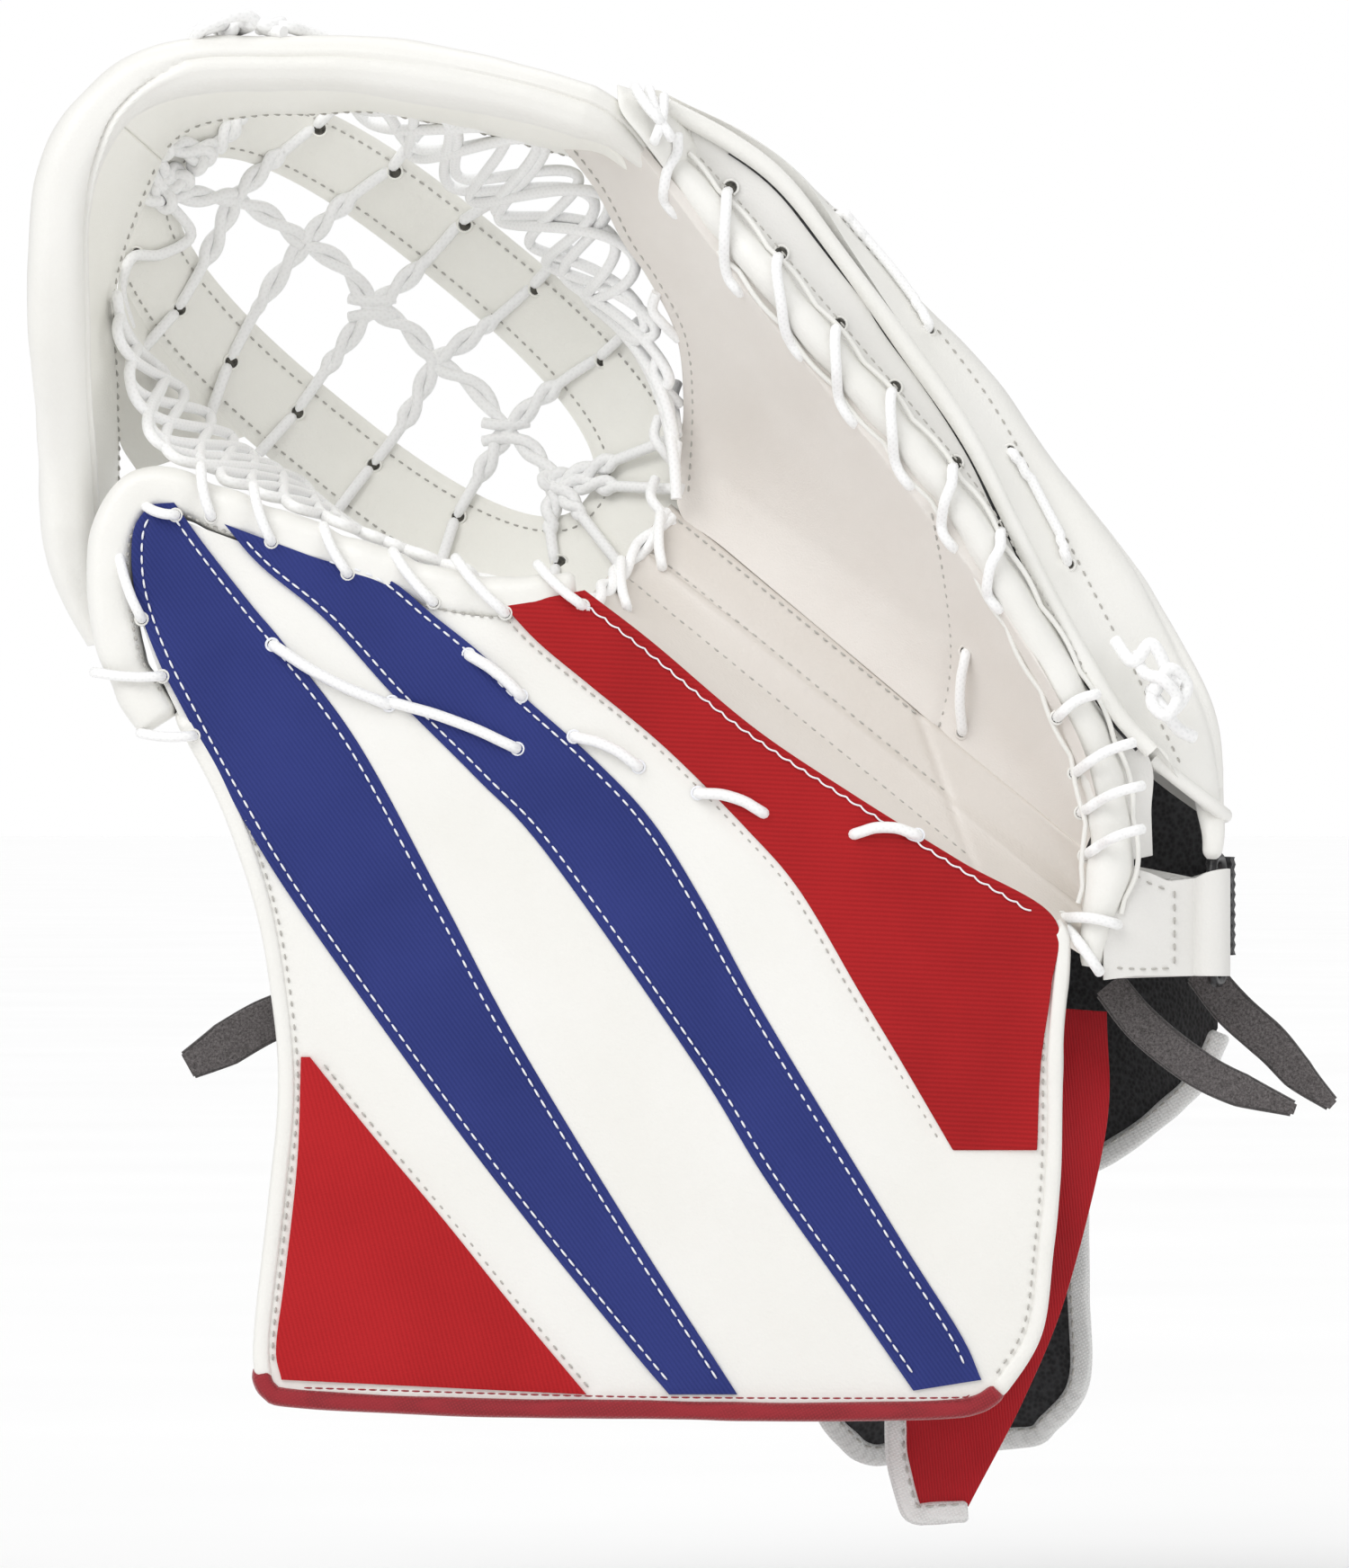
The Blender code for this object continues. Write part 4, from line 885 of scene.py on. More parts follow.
THUMB_WHIPS = (((-224.5, 3.2), (-205.2, 2.0)), ((-211.5, -13.8), (-196.5, -14.6)),
               ((-217.5, 36.0), (-211.0, 18.0)), ((-210.2, 49.5), (-201.6, 47.0)),
               ((-194.6, 61.0), (-191.6, 46.5)), ((-180.0, 55.5), (-174.8, 39.5)),
               ((-160.4, 44.0), (-153.5, 30.6)), ((-141.0, 37.0), (-129.6, 22.6)),
               ((-123.6, 35.0), (-109.6, 19.6)), ((-100.6, 33.2), (-88.0, 21.6)))


def build_thumb_roll():
    """The padded roll round the thumb edge with the lace whipped over it."""
    flat = smooth(ROLL_ROUTE, 240)
    route = on_cuff(flat, -CUFF_DEPTH / 2)
    side = outward(route)
    if side[120, 2] < 0:
        side = -side
    collar = route - side * 1.6
    rings = oval_rings(collar, 6.7, 10.2, 36, 0.25, 0.62, side)
    rings = dented(rings, flat, THUMB_WHIPS, 0.13, 4.0)
    roll = loft("thumb_roll_padded", crumple(rings, 11.0, 0.55), "white_leather", "thumb")
    stand_for(roll, "white_leather", "thumb_roll")
    thread = Soup()
    thread.stitches((collar - side * 5.2 + FRONT * 9.15)[8:-6], 2.6, 1.1, 0.3)
    thread.build("thumb_roll_stitching", "grey_thread", "thumb", "lace")
    laces, eyelets = Soup(), (Soup(), Soup())
    for start, stop in THUMB_WHIPS:
        a, b = on_cuff((start, stop), 0.6)
        a[1] += 3.0
        whip(laces, a, b, rise=4.4, bow=0.7, sink=3.4)
        hold(b + FRONT * 0.6, FRONT, 1.5, eyelets)
    laces.build("thumb_whip_laces", "lace", "thumb", "lace", "thumb_lace")
    build_eyelets("thumb_lace_hole", eyelets, "thumb", "white_leather", "white_leather")


CUFF_LACES = (((-174.5, 10.8), (-142.0, -6.0)), ((-141.2, -5.2), (-106.2, -18.2)),
              ((-119.8, 8.0), (-105.2, -3.5)), ((-90.5, -14.8), (-72.5, -23.2)),
              ((-56.0, -30.5), (-37.5, -36.2)), ((-12.8, -42.0), (5.2, -42.2)))


def build_cuff_laces():
    """The running lace that shows on the board's face between its eyelets."""
    laces, eyelets = Soup(), (Soup(), Soup())
    for k, (start, stop) in enumerate(CUFF_LACES):
        a, b = on_cuff((start, stop), 1.3)
        whip(laces, a, b, rise=2.0, bow=(1.4, -1.2, -0.9, -1.6, -1.8, -2.2)[k], sink=3.0, radius=LACE * 0.92)
        for spot in (a, b):
            hold(spot, FRONT, 1.5, eyelets)
    laces.build("board_face_laces", "lace", "thumb", "lace", "cuff_lace")
    build_eyelets("board_lace_hole", eyelets, "thumb", "thread", "lace")


# ---------------------------------------------------------------- palm and break
PALM_SEAM = ((8.8, 48.0), (12.8, 28.0), (14.8, 11.2), (14.0, -2.2), (10.5, -15.0), (3.5, -30.0))
PALM_CREASES = (((-52, 60), (-20, 36), (10, 14)), ((-40, 84), (-14, 62), (4, 40)),
                ((-58, 110), (-40, 92), (-26, 70)))


def build_palm():
    """The catching surface: leather over foam, with a liner behind."""
    flat = ruled(PALM_POCKET_EDGE, PALM_ROLL_EDGE, 170, 84)
    x, z = flat[..., 0], flat[..., 1]
    seam = smooth(PALM_SEAM, 60)
    lift = 0.9 * pillow(x.shape, 6) - 0.7 * bell(distance_to(flat, seam), 1.6)
    for crease in PALM_CREASES:
        lift = lift - 0.35 * bell(distance_to(flat, smooth(crease, 20)), 3.0)
    lift = lift + wrinkle(grid_of(x, 0 * x, z), 30.0, 0.9, 2.0)
    front = grid_of(x, palm_depth(x, z) - lift, z)
    back = grid_of(x, palm_depth(x, z) + 1.6, z)
    skin = slab("palm_skin", front, back, "palm_leather", "hand", bevel=0.5)
    stand_for(skin, "palm_leather", "palm_panel")
    base = ruled(PALM_POCKET_EDGE, PALM_ROLL_EDGE, 60, 30)
    base = base[:, :1] + (base - base[:, :1]) * 0.86 + (base[:, -1:] - base[:, :1]) * 0.03
    x, z = base[..., 0], base[..., 1]
    surface = grid_of(x, palm_depth(x, z), z)
    normal = grid_normals(surface)
    puff = (5.4 * pillow(x.shape, 8) ** 0.3 + 1.2)[..., None]
    pad = slab("palm_padding", surface + normal * 1.7, surface + normal * (1.8 + puff), "foam", "hand")
    stand_for(pad, "foam", "palm_foam")
    liner = slab("palm_lining", surface + normal * (1.9 + puff), surface + normal * (3.2 + puff),
                 "black_lining", "hand", bevel=0.4)
    stand_for(liner, "black_lining", "palm_back")
    thread = Soup()
    thread.stitches(on_palm(seam, -0.1), 3.4, 1.8, 0.28)
    edge = seam_inside(PALM_POCKET_EDGE[:7], PALM_ROLL_EDGE[:7], 2.6, 120)
    thread.stitches(on_palm(edge, 0.5), 3.2, 1.9, 0.28)
    thread.build("palm_stitching", "grey_thread", "hand", "lace")
    small, eyelets = Soup(), (Soup(), Soup())
    a, b = on_palm(((19.0, 9.0), (18.2, -13.5)), 0.8)
    whip(small, a, b, rise=2.0, bow=1.3, sink=3.0)
    for spot in (a, b):
        hold(spot, FRONT, 1.7, eyelets)
    small.build("palm_tie_lace", "lace", "hand", "lace")
    build_eyelets("palm_tie_hole", eyelets, "hand", "palm_leather", "palm_leather")


BREAK_COLUMNS = (0, 20, 35, 61)
BREAK_SHARES = (0.0, 0.34, 0.58, 1.0)
BREAK_SEAMS = (13.4, 1.7, -8.3)


def break_edges():
    """Fold coordinates of the break's two long edges, as (along, across) arrays."""
    upper, lower = smooth(BREAK_UPPER, 150), smooth(BREAK_LOWER, 150)
    return np.array(fold_coords(upper[:, 0], upper[:, 1])), np.array(fold_coords(lower[:, 0], lower[:, 1]))


def on_break(along, across):
    """Points on the padded strips of the break, in fold coordinates."""
    upper, lower = break_edges()
    low = np.interp(along, lower[0], lower[1])
    high = np.interp(along, upper[0], upper[1])
    share = np.clip((high - across) / (high - low), 0.0, 1.0)
    rise = np.clip((share - 0.35) / 0.65, 0.0, 1.0)
    rise = rise * rise * (3 - 2 * rise)
    x, z = from_fold(along, across)
    web_side, thumb_side = BREAK_SEAMS[1:]
    strip = np.clip((high - across) / (high - web_side), 0.0, 1.0)
    strip = strip + np.clip((web_side - across) / (web_side - thumb_side), 0.0, 1.0)
    strip = strip + np.clip((thumb_side - across) / np.maximum(thumb_side - low, 1.0), 0.0, 1.0)
    edge = 10.0 - 0.35 * (z + 20.0) - x
    beyond = 1.0 / (1.0 + np.exp(edge / 1.5))
    puff = 1.5 * np.abs(np.sin(strip * math.pi)) ** 0.55 * (1 - beyond) + 1.4 * beyond
    lift = puff - 1.0 * bell(edge, 1.4) + board_waves(x, z)
    tuck = 2.4 * np.clip(1 - share / 0.04, 0.0, 1.0)
    deep = palm_depth(x, z) * (1 - rise) + (cuff_depth(x, z) + 1.0) * rise
    return grid_of(x, deep - lift + tuck, z), beyond


def bend_break(piece, upper):
    """Bakes the transform of a piece of the break into its mesh; the lean of its two bands, a little askew to
    the fold line, is worked out but not applied.
    """
    lean = np.array(FOLD_ACROSS) - (0.03 if upper else 0.06) * np.array(FOLD_ALONG)
    lean = lean / np.dot(lean, lean)
    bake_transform(piece)
    return piece


def build_break():
    """Three padded strips between palm and board."""
    (along_u, across_u), (along_l, across_l) = break_edges()
    share = np.interp(np.arange(62), BREAK_COLUMNS, BREAK_SHARES)[None, :]
    along = along_u[:, None] + (along_l - along_u)[:, None] * share
    across = np.zeros_like(along)
    lines = (across_u, 0.5 + 0.03 * along[:, 20], -8.5 + 0.06 * along[:, 35], across_l)
    for k in range(3):
        first, last = BREAK_COLUMNS[k:k + 2]
        step = np.linspace(0.0, 1.0, last - first + 1)[None, :]
        across[:, first:last + 1] = lines[k][:, None] + (lines[k + 1] - lines[k])[:, None] * step
    front = on_break(along, across)[0]
    back = front + (0.0, 3.2, 0.0)
    for k, name in enumerate(("upper", "middle", "lower")):
        part = slice(BREAK_COLUMNS[k], BREAK_COLUMNS[k + 1] + 1)
        piece = slab("break_strip_" + name, front[:, part], back[:, part], "break_leather",
                     "web" if k == 1 else None)
        stand_for(piece, "palm_leather", "break_panel")
        if k != 1:
            bend_break(piece, k == 0)
    for k, place in enumerate(BREAK_SEAMS):
        line, beyond = on_break(np.linspace(3.0, 148.0, 150), np.full(150, place))
        thread = Soup()
        thread.stitches((line + FRONT * 0.15)[beyond < 0.5], 3.2, 1.9, 0.26)
        seam = thread.build("break_stitching_" + "abc"[k], "grey_thread", None, "lace")
        bend_break(seam, k < 2)
    wrap = Soup()
    corner = smooth(front[2, 2:58] + FRONT * 2.0 + np.array([-1.0, 0.0, -0.5]), 50)
    twisted(wrap, corner, turns=2.2, radius=1.5)
    for row in (5, 30):
        start, stop = front[3, row] + FRONT * 1.5, front[9, row + 16] + FRONT * 1.0
        whip(wrap, start + np.array([-3.0, 0.0, 2.0]), stop, rise=2.4, bow=0.8)
    wrap.build("break_corner_lace", "net_lace", "web", "lace")


# ---------------------------------------------------------------- finger side
PERIMETER_WHIPS = (((-61.0, 152.5), (-64.8, 133.0)), ((-47.4, 137.2), (-47.0, 111.2)),
                   ((-33.4, 118.8), (-29.6, 93.0)), ((-17.2, 99.0), (-15.0, 74.6)),
                   ((-1.8, 81.5), (0.6, 57.0)), ((15.2, 60.5), (12.6, 40.0)),
                   ((28.6, 42.5), (25.0, 23.0)))
WRIST_WHIPS = (((44, -9.5), (55, -3)), ((49, -25), (65, -16.5)), ((51, -36), (67.5, -28.5)),
               ((52, -48), (67.5, -40.5)), ((45.5, -65.5), (62, -67.5)), ((46, -67), (56, -80.5)))


def perimeter_height(count):
    """Depth of the roll's middle line, from the web to the wrist."""
    return np.interp(np.linspace(0.0, 23.0, count), [0, 4, 13, 20, 23], [6.0, -3.0, 1.0, 9.5, 13.0])


def over_roll(spots, clear):
    """Points above the finger side roll and the leather beside it, for flat (x, z) spots."""
    flat, height = smooth(PERIMETER_ROUTE, ROLL_STATIONS), perimeter_height(ROLL_STATIONS)
    points = []
    for spot in spots:
        away = np.linalg.norm(flat - np.asarray(spot), axis=1)
        k = int(np.argmin(away))
        crest = height[k] - 8.9 * max(0.0, 1.0 - (away[k] / 6.8) ** 3) ** 0.6
        beside = min(float(palm_depth(*spot)), height[k] + 3.0)
        points.append((spot[0], min(crest, beside) - clear, spot[1]))
    return np.array(points)


def build_perimeter():
    """The padded roll along the finger side, its piped seams and the whipped lace."""
    flat = smooth(PERIMETER_ROUTE, ROLL_STATIONS)
    route = raised(flat, perimeter_height(ROLL_STATIONS))
    width = np.interp(np.linspace(0.0, 1.0, ROLL_STATIONS), *np.transpose(PERIMETER_WIDTHS))
    rings = oval_rings(route, width, 8.9, 28, 0.25, 0.85)
    rings = dented(rings, flat, PERIMETER_WHIPS + WRIST_WHIPS, 0.12, 4.5)
    roll = loft("perimeter_roll_padded", crumple(rings, 10.0, 0.6, 4.0), "white_leather", "hand")
    stand_for(roll, "white_leather", "perimeter_roll")
    side = outward(route)
    seams = Soup()
    for away, lift in ((-5.4, 3.6), (4.9, 5.2)):
        wave = 1.1 * np.abs(np.sin(np.linspace(0.0, 13 * math.pi, ROLL_STATIONS))) + width - 5.0
        line = route + side * (away + np.sign(away) * wave)[:, None] + FRONT * lift
        seams.tube(line[6:-14], 0.75, 8)
    seams.build("perimeter_seam_piping", "white_leather", "hand", "white_leather")
    thread = Soup()
    thread.stitches((route + side * 7.2 + FRONT * 4.6)[8:-40], 3.2, 1.7, 0.26)
    thread.build("perimeter_stitching", "grey_thread", "hand", "lace")
    laces, eyelets = Soup(), (Soup(), Soup())
    for start, stop in PERIMETER_WHIPS:
        a, b = np.array(start), np.array(stop)
        spots = [a, a + (-0.6, -1.2), a + (-0.8, -5.0), 0.5 * (a + b) + (-1.5, 0.0),
                 0.22 * a + 0.78 * b + (-1.5, 0.0), b + (-0.4, 1.4), b + (1.6, -1.4), b + (3.0, -2.6)]
        points = over_roll(spots, 1.2)
        points[:, 1] += np.array([0.0, 0.0, -0.4, -0.6, -0.4, -0.2, 0.4, 2.6])
        points[0, 1] = facing_height(start) + 2.5
        points[1, 1] = min(points[1, 1], facing_height(start) - 1.6)
        laces.tube(smooth(points, 44), WHIP_LACE)
        hold(np.array([start[0] + 0.5, facing_height(start) - 1.2, start[1] + 0.9]), FRONT, 1.9, eyelets)
    for start, stop in WRIST_WHIPS:
        a, b = np.array(start), np.array(stop)
        spots = [a + (b - a) * share + (-0.6 * math.sin(share * math.pi), 1.2 * math.sin(share * math.pi))
                 for share in (0.0, 0.14, 0.3, 0.5, 0.7, 0.88, 1.0)]
        points = over_roll(spots, 1.3)
        points[0, 1] = min(float(palm_depth(*start)) - 1.0, points[0, 1] + 4.0)
        points[-1, 1] += 2.0
        laces.tube(smooth(points, 44), WHIP_LACE)
        hold(points[0] + FRONT * 0.8, FRONT, 1.6, eyelets)
    laces.build("perimeter_whip_laces", "lace", "hand", "lace", "perimeter_lace")
    build_eyelets("perimeter_lace_hole", eyelets, "hand", "white_leather", "white_leather")


def facing_grid(along, across):
    """The flat strip between the roll and the seam of the shell."""
    beside = smooth(PERIMETER_ROUTE[:-2], along)
    beside = beside + 2.0 * left_of(beside)
    flat = ruled(beside, FACING_EDGE + ((70.5, -36), (71, -48)), along, across)
    height = np.interp(np.linspace(0.0, 13.0, along), [0, 3, 13], [6.0, -2.0, 8.0])[:, None]
    share = np.linspace(0.0, 1.0, across)[None, :]
    falls = np.interp(np.linspace(0.0, 1.0, along), [0.0, 0.84, 1.0], [3.5, 3.5, 13.0])[:, None]
    return flat, height * (1 - share) + falls * share


FACING_FLAT, FACING_HEIGHT = facing_grid(140, 30)


def facing_height(spot):
    """Depth of the facing nearest to an (x, z) spot."""
    away = np.linalg.norm(FACING_FLAT - np.array(spot), axis=-1)
    row, column = np.unravel_index(np.argmin(away), away.shape)
    return float(FACING_HEIGHT[row, column])


def finger_profile(inset, along, across):
    """Grid over the fingers, from the facing seam over the silhouette to the back of the hand."""
    inner, outer = smooth(FACING_EDGE, along), smooth(SHELL_EDGE, along)
    rows = []
    for k in range(along):
        edge = outer[k] - inner[k]
        width = np.linalg.norm(edge)
        edge = edge / width
        push = np.interp(k * 14.0 / (along - 1), [0, 4, 14], [0.35, 0.8, 1.0])
        shape = ((1.5 - width, 9.0), (-2.5, 15.0), (0.0, 30.0), (-3.0, 52.0), (-18.0, 52.0 + 26.0 * push),
                 (-46.0 * max(push, 0.6), 58.0 + 30.0 * push))
        line = smooth(shape, across)
        line = line + inset * left_of(line)
        rows.append([(outer[k][0] + edge[0] * n, y, outer[k][1] + edge[1] * n) for n, y in line])
    return np.array(rows)


def build_fingers():
    """Facing strip, outer shell with its rolled edge, lining and running laces."""
    height = FACING_HEIGHT - 0.9 * pillow(FACING_HEIGHT.shape, 4)
    front = grid_of(FACING_FLAT[..., 0], height, FACING_FLAT[..., 1])
    front = front - BACK * wrinkle(front, 18.0, 0.6, 3.0)[..., None]
    facing = slab("finger_facing_leather", front, front + (0.0, 3.0, 0.0), "tab_leather", "hand", bevel=0.5)
    stand_for(facing, "white_leather", "finger_facing")
    outer = finger_profile(0.0, 190, 150)
    normal = unit(np.cross(np.gradient(outer, axis=0), np.gradient(outer, axis=1)))
    normal = normal * math.copysign(1.0, normal[95, 75, 0])
    share = np.linspace(0.0, 1.0, 150)[None, :]
    row = np.linspace(0.0, 1.0, 190)[:, None]
    seam_share = 0.30 + 0.05 * np.sin(row * 5.0)
    lift = 5.0 * bell(share, 0.075) - 0.9 * bell(share - seam_share, 0.012)
    lift = lift + 0.7 * bell(share - seam_share - 0.03, 0.02)
    lift = lift - 0.8 * bell(share - 0.62, 0.01) - 0.8 * bell(share - 0.8, 0.01)
    lift = lift + wrinkle(outer, 42.0, 2.2, 1.0) + wrinkle(outer, 16.0, 0.45, 5.0)
    lift = lift * (1 - np.clip((share - 0.97) / 0.03, 0.0, 1.0))
    shell = slab("finger_shell_leather", outer + normal * lift[..., None], outer - normal * 3.0,
                 "white_leather", "hand", bevel=0.8)
    stand_for(shell, "white_leather", "finger_shell")
    inner = finger_profile(4.0, 90, 70)[18:]
    lining = slab("finger_shell_lining", inner, finger_profile(8.4, 90, 70)[18:], "black_lining", "hand",
                  bevel=0.6)
    stand_for(lining, "black_lining", "finger_pad")
    thread = Soup()
    for place in (0.12, 0.64, 0.78):
        column = int(place * 149)
        line = (outer + normal * (lift[..., None] + 0.05))[6:-6, column]
        thread.stitches(line, 3.4, 1.9, 0.27, normal[95, column])
    thread.build("shell_stitching", "grey_thread", "hand", "lace")
    seam = smooth(FACING_EDGE, 200)
    piping = Soup()
    swell = 2.5 + 0.25 * np.sin(np.linspace(0.0, 17.0, 198))
    piping.tube(raised(seam + 1.5 * left_of(seam), 2.0)[1:-1], swell, 16)
    lower = outer[-2, :60] + normal[-2, :60] * 0.6
    piping.tube(lower, np.interp(np.arange(60), (0, 40, 59), (2.1, 2.1, 0.9)), 14)
    tongue = smooth(((86.0, 27.0, -22.0), (87.0, 20.0, -33.0), (88.0, 16.0, -42.0), (87.5, 15.5, -49.0)), 40)
    rings = oval_rings(tongue, np.linspace(5.2, 2.6, 40), 2.6, 20, 0.5, 0.9)
    stand_for(loft("shell_wrist_tongue", rings, "white_leather", "hand"), "white_leather")
    piping.build("shell_edge_piping", "white_leather", "hand", "white_leather", "finger_piping")
    gap = Soup()
    line = smooth(FACING_EDGE, 160)
    gap.tube(raised(line - 1.15 * left_of(line), 3.0)[16:-3], 0.55, 8)
    gap.build("shell_gap_shadow_cord", "black_lining", "hand", "black_lining")
    surface = outer + normal * (lift[..., None] + 1.0)
    laces, eyelets = Soup(), (Soup(), Soup())
    for first, last, column in ((0.25, 0.41, 13), (0.575, 0.72, 13)):
        rows = np.linspace(first * 189, last * 189, 26).astype(int)
        shift = (3 * np.sin(np.linspace(0, math.pi, 26))).astype(int)
        line = surface[rows, column + shift] + normal[rows, column + shift] * 0.8
        line[0], line[-1] = line[0] - normal[rows[0], column] * 3.0, line[-1] - normal[rows[-1], column] * 3.0
        laces.tube(smooth(line, 60), LACE * 0.8)
        for r in (rows[0], rows[-1]):
            hold(surface[r, column] - normal[r, column] * 0.9, normal[r, column], 1.6, eyelets)
    laces.build("shell_running_laces", "lace", "hand", "lace")
    build_eyelets("shell_lace_hole", eyelets, "hand", "white_leather", "white_leather")
    tie = ((60, 1.5, 12), (65, -3.5, 6), (70, -4.5, 11), (74, -4, 3), (70, -6, -3), (75, -5, 4), (80, -2, -1),
           (75, -5, -8), (70, -3, -2), (77, -1, -12), (82, 3, -15))
    knot = Soup()
    knot.tube(smooth(tie, 140), LACE * 1.05)
    turn = ((66, 2, 8), (68, -5, 3), (73, -8, 1), (77, -6, -4), (74, -8, -9), (70, -6, -5), (73, -4, 2),
            (78, -3, 0))
    knot.tube(smooth(turn, 80), LACE * 1.0)
    knot.build("backhand_knot", "lace", "hand", "lace", "backhand_tie")


# ---------------------------------------------------------------- web, nets and crossbar
def opening_at(angle):
    """(along, across) of a point on the opening's outline: an oval with full ends."""
    return -91.0 + 73.0 * rounded(math.cos(angle), 0.82), 21.5 * rounded(math.sin(angle), 0.82) + 1.5


def build_web_band():
    """The leather band round the pocket's opening."""
    turns, across = 260, 22
    front = np.zeros((turns, across, 3))
    for k, a in enumerate(np.linspace(0.0, 2 * math.pi, turns, endpoint=False)):
        outer = np.array([-84.0 + 96.0 * rounded(math.cos(a), 0.75), 46.0 * rounded(math.sin(a), 0.75)])
        inner = np.array(opening_at(a))
        for j, share in enumerate(np.linspace(0.0, 1.0, across)):
            along, off = outer + (inner - outer) * share
            x, z = from_fold(along, off)
            bulge = 1.3 * (1 - (2 * share - 1) ** 4)
            bulge = bulge - 0.7 * bell(share - 0.86, 0.035) - 0.6 * bell(share - 0.1, 0.04)
            front[k, j] = (x, float(stem_depth(along, off)) - bulge, z)
    front[..., 1] -= wrinkle(front, 24.0, 0.9, 6.0)
    back = front[:, ::-1] + np.array([0.0, 3.4, 0.0])
    rings = np.concatenate([front, back], axis=1)
    band = loft("web_band_leather", rings, "band_leather_painted_light", "web", closed=True, sharp=50)
    stand_for(band, "white_leather", "web_band")
    thread = Soup()
    for place in (3, 18):
        line = front[:, place] + FRONT * 0.1
        thread.stitches(np.vstack([line, line[:1]]), 3.1, 1.7, 0.28)
    thread.build("web_band_stitching", "grey_thread", "web", "lace")


def stem_spot(along, across, lift):
    """A point lifted off the web, given along and across the fold line."""
    x, z = from_fold(along, across)
    return np.array([x, float(stem_depth(along, across)) - lift, z])


def stem_line(start, stop, lift, count):
    """A run of lace between two (x, z) spots that follows the belly of the web."""
    start, stop = np.array(start, dtype=float), np.array(stop, dtype=float)
    spots = start + (stop - start) * np.linspace(0.0, 1.0, count)[:, None]
    return on_stem(spots, lift)


WEB_KNOTS = ((-187.2, 138.5), (-167.8, 126.0), (-148.8, 107.8), (-131.2, 92.5), (-110.5, 72.2), (-96.2, 57.5))
UPPER_EYELETS = ((-164.2, 158.8), (-143.0, 147.0), (-123.2, 132.2), (-102.8, 113.8), (-83.8, 93.2))
LOWER_EYELETS = ((-215.8, 121.0), (-204.0, 106.0), (-189.5, 91.2), (-171.0, 77.0), (-149.2, 62.0),
                 (-125.0, 47.2), (-96.0, 33.8))


def knot(soup, place, size=3.6, radius=1.35, turn=0.0, normal=FRONT):
    """A small overhand knot: a trefoil of lace."""
    t = np.linspace(0.0, 2 * math.pi, 70, endpoint=False)
    across = unit(np.cross(normal, (math.sin(turn), 0.1, math.cos(turn))))
    up = np.cross(normal, across)
    u = (np.sin(t) + 2 * np.sin(2 * t)) / 3.0
    v = (np.cos(t) - 2 * np.cos(2 * t)) / 3.0
    w = -np.sin(3 * t) * 0.5
    spots = place + size * (u[:, None] * across + v[:, None] * up) + 2.6 * w[:, None] * np.asarray(normal)
    soup.tube(spots, radius, 8, closed=True)


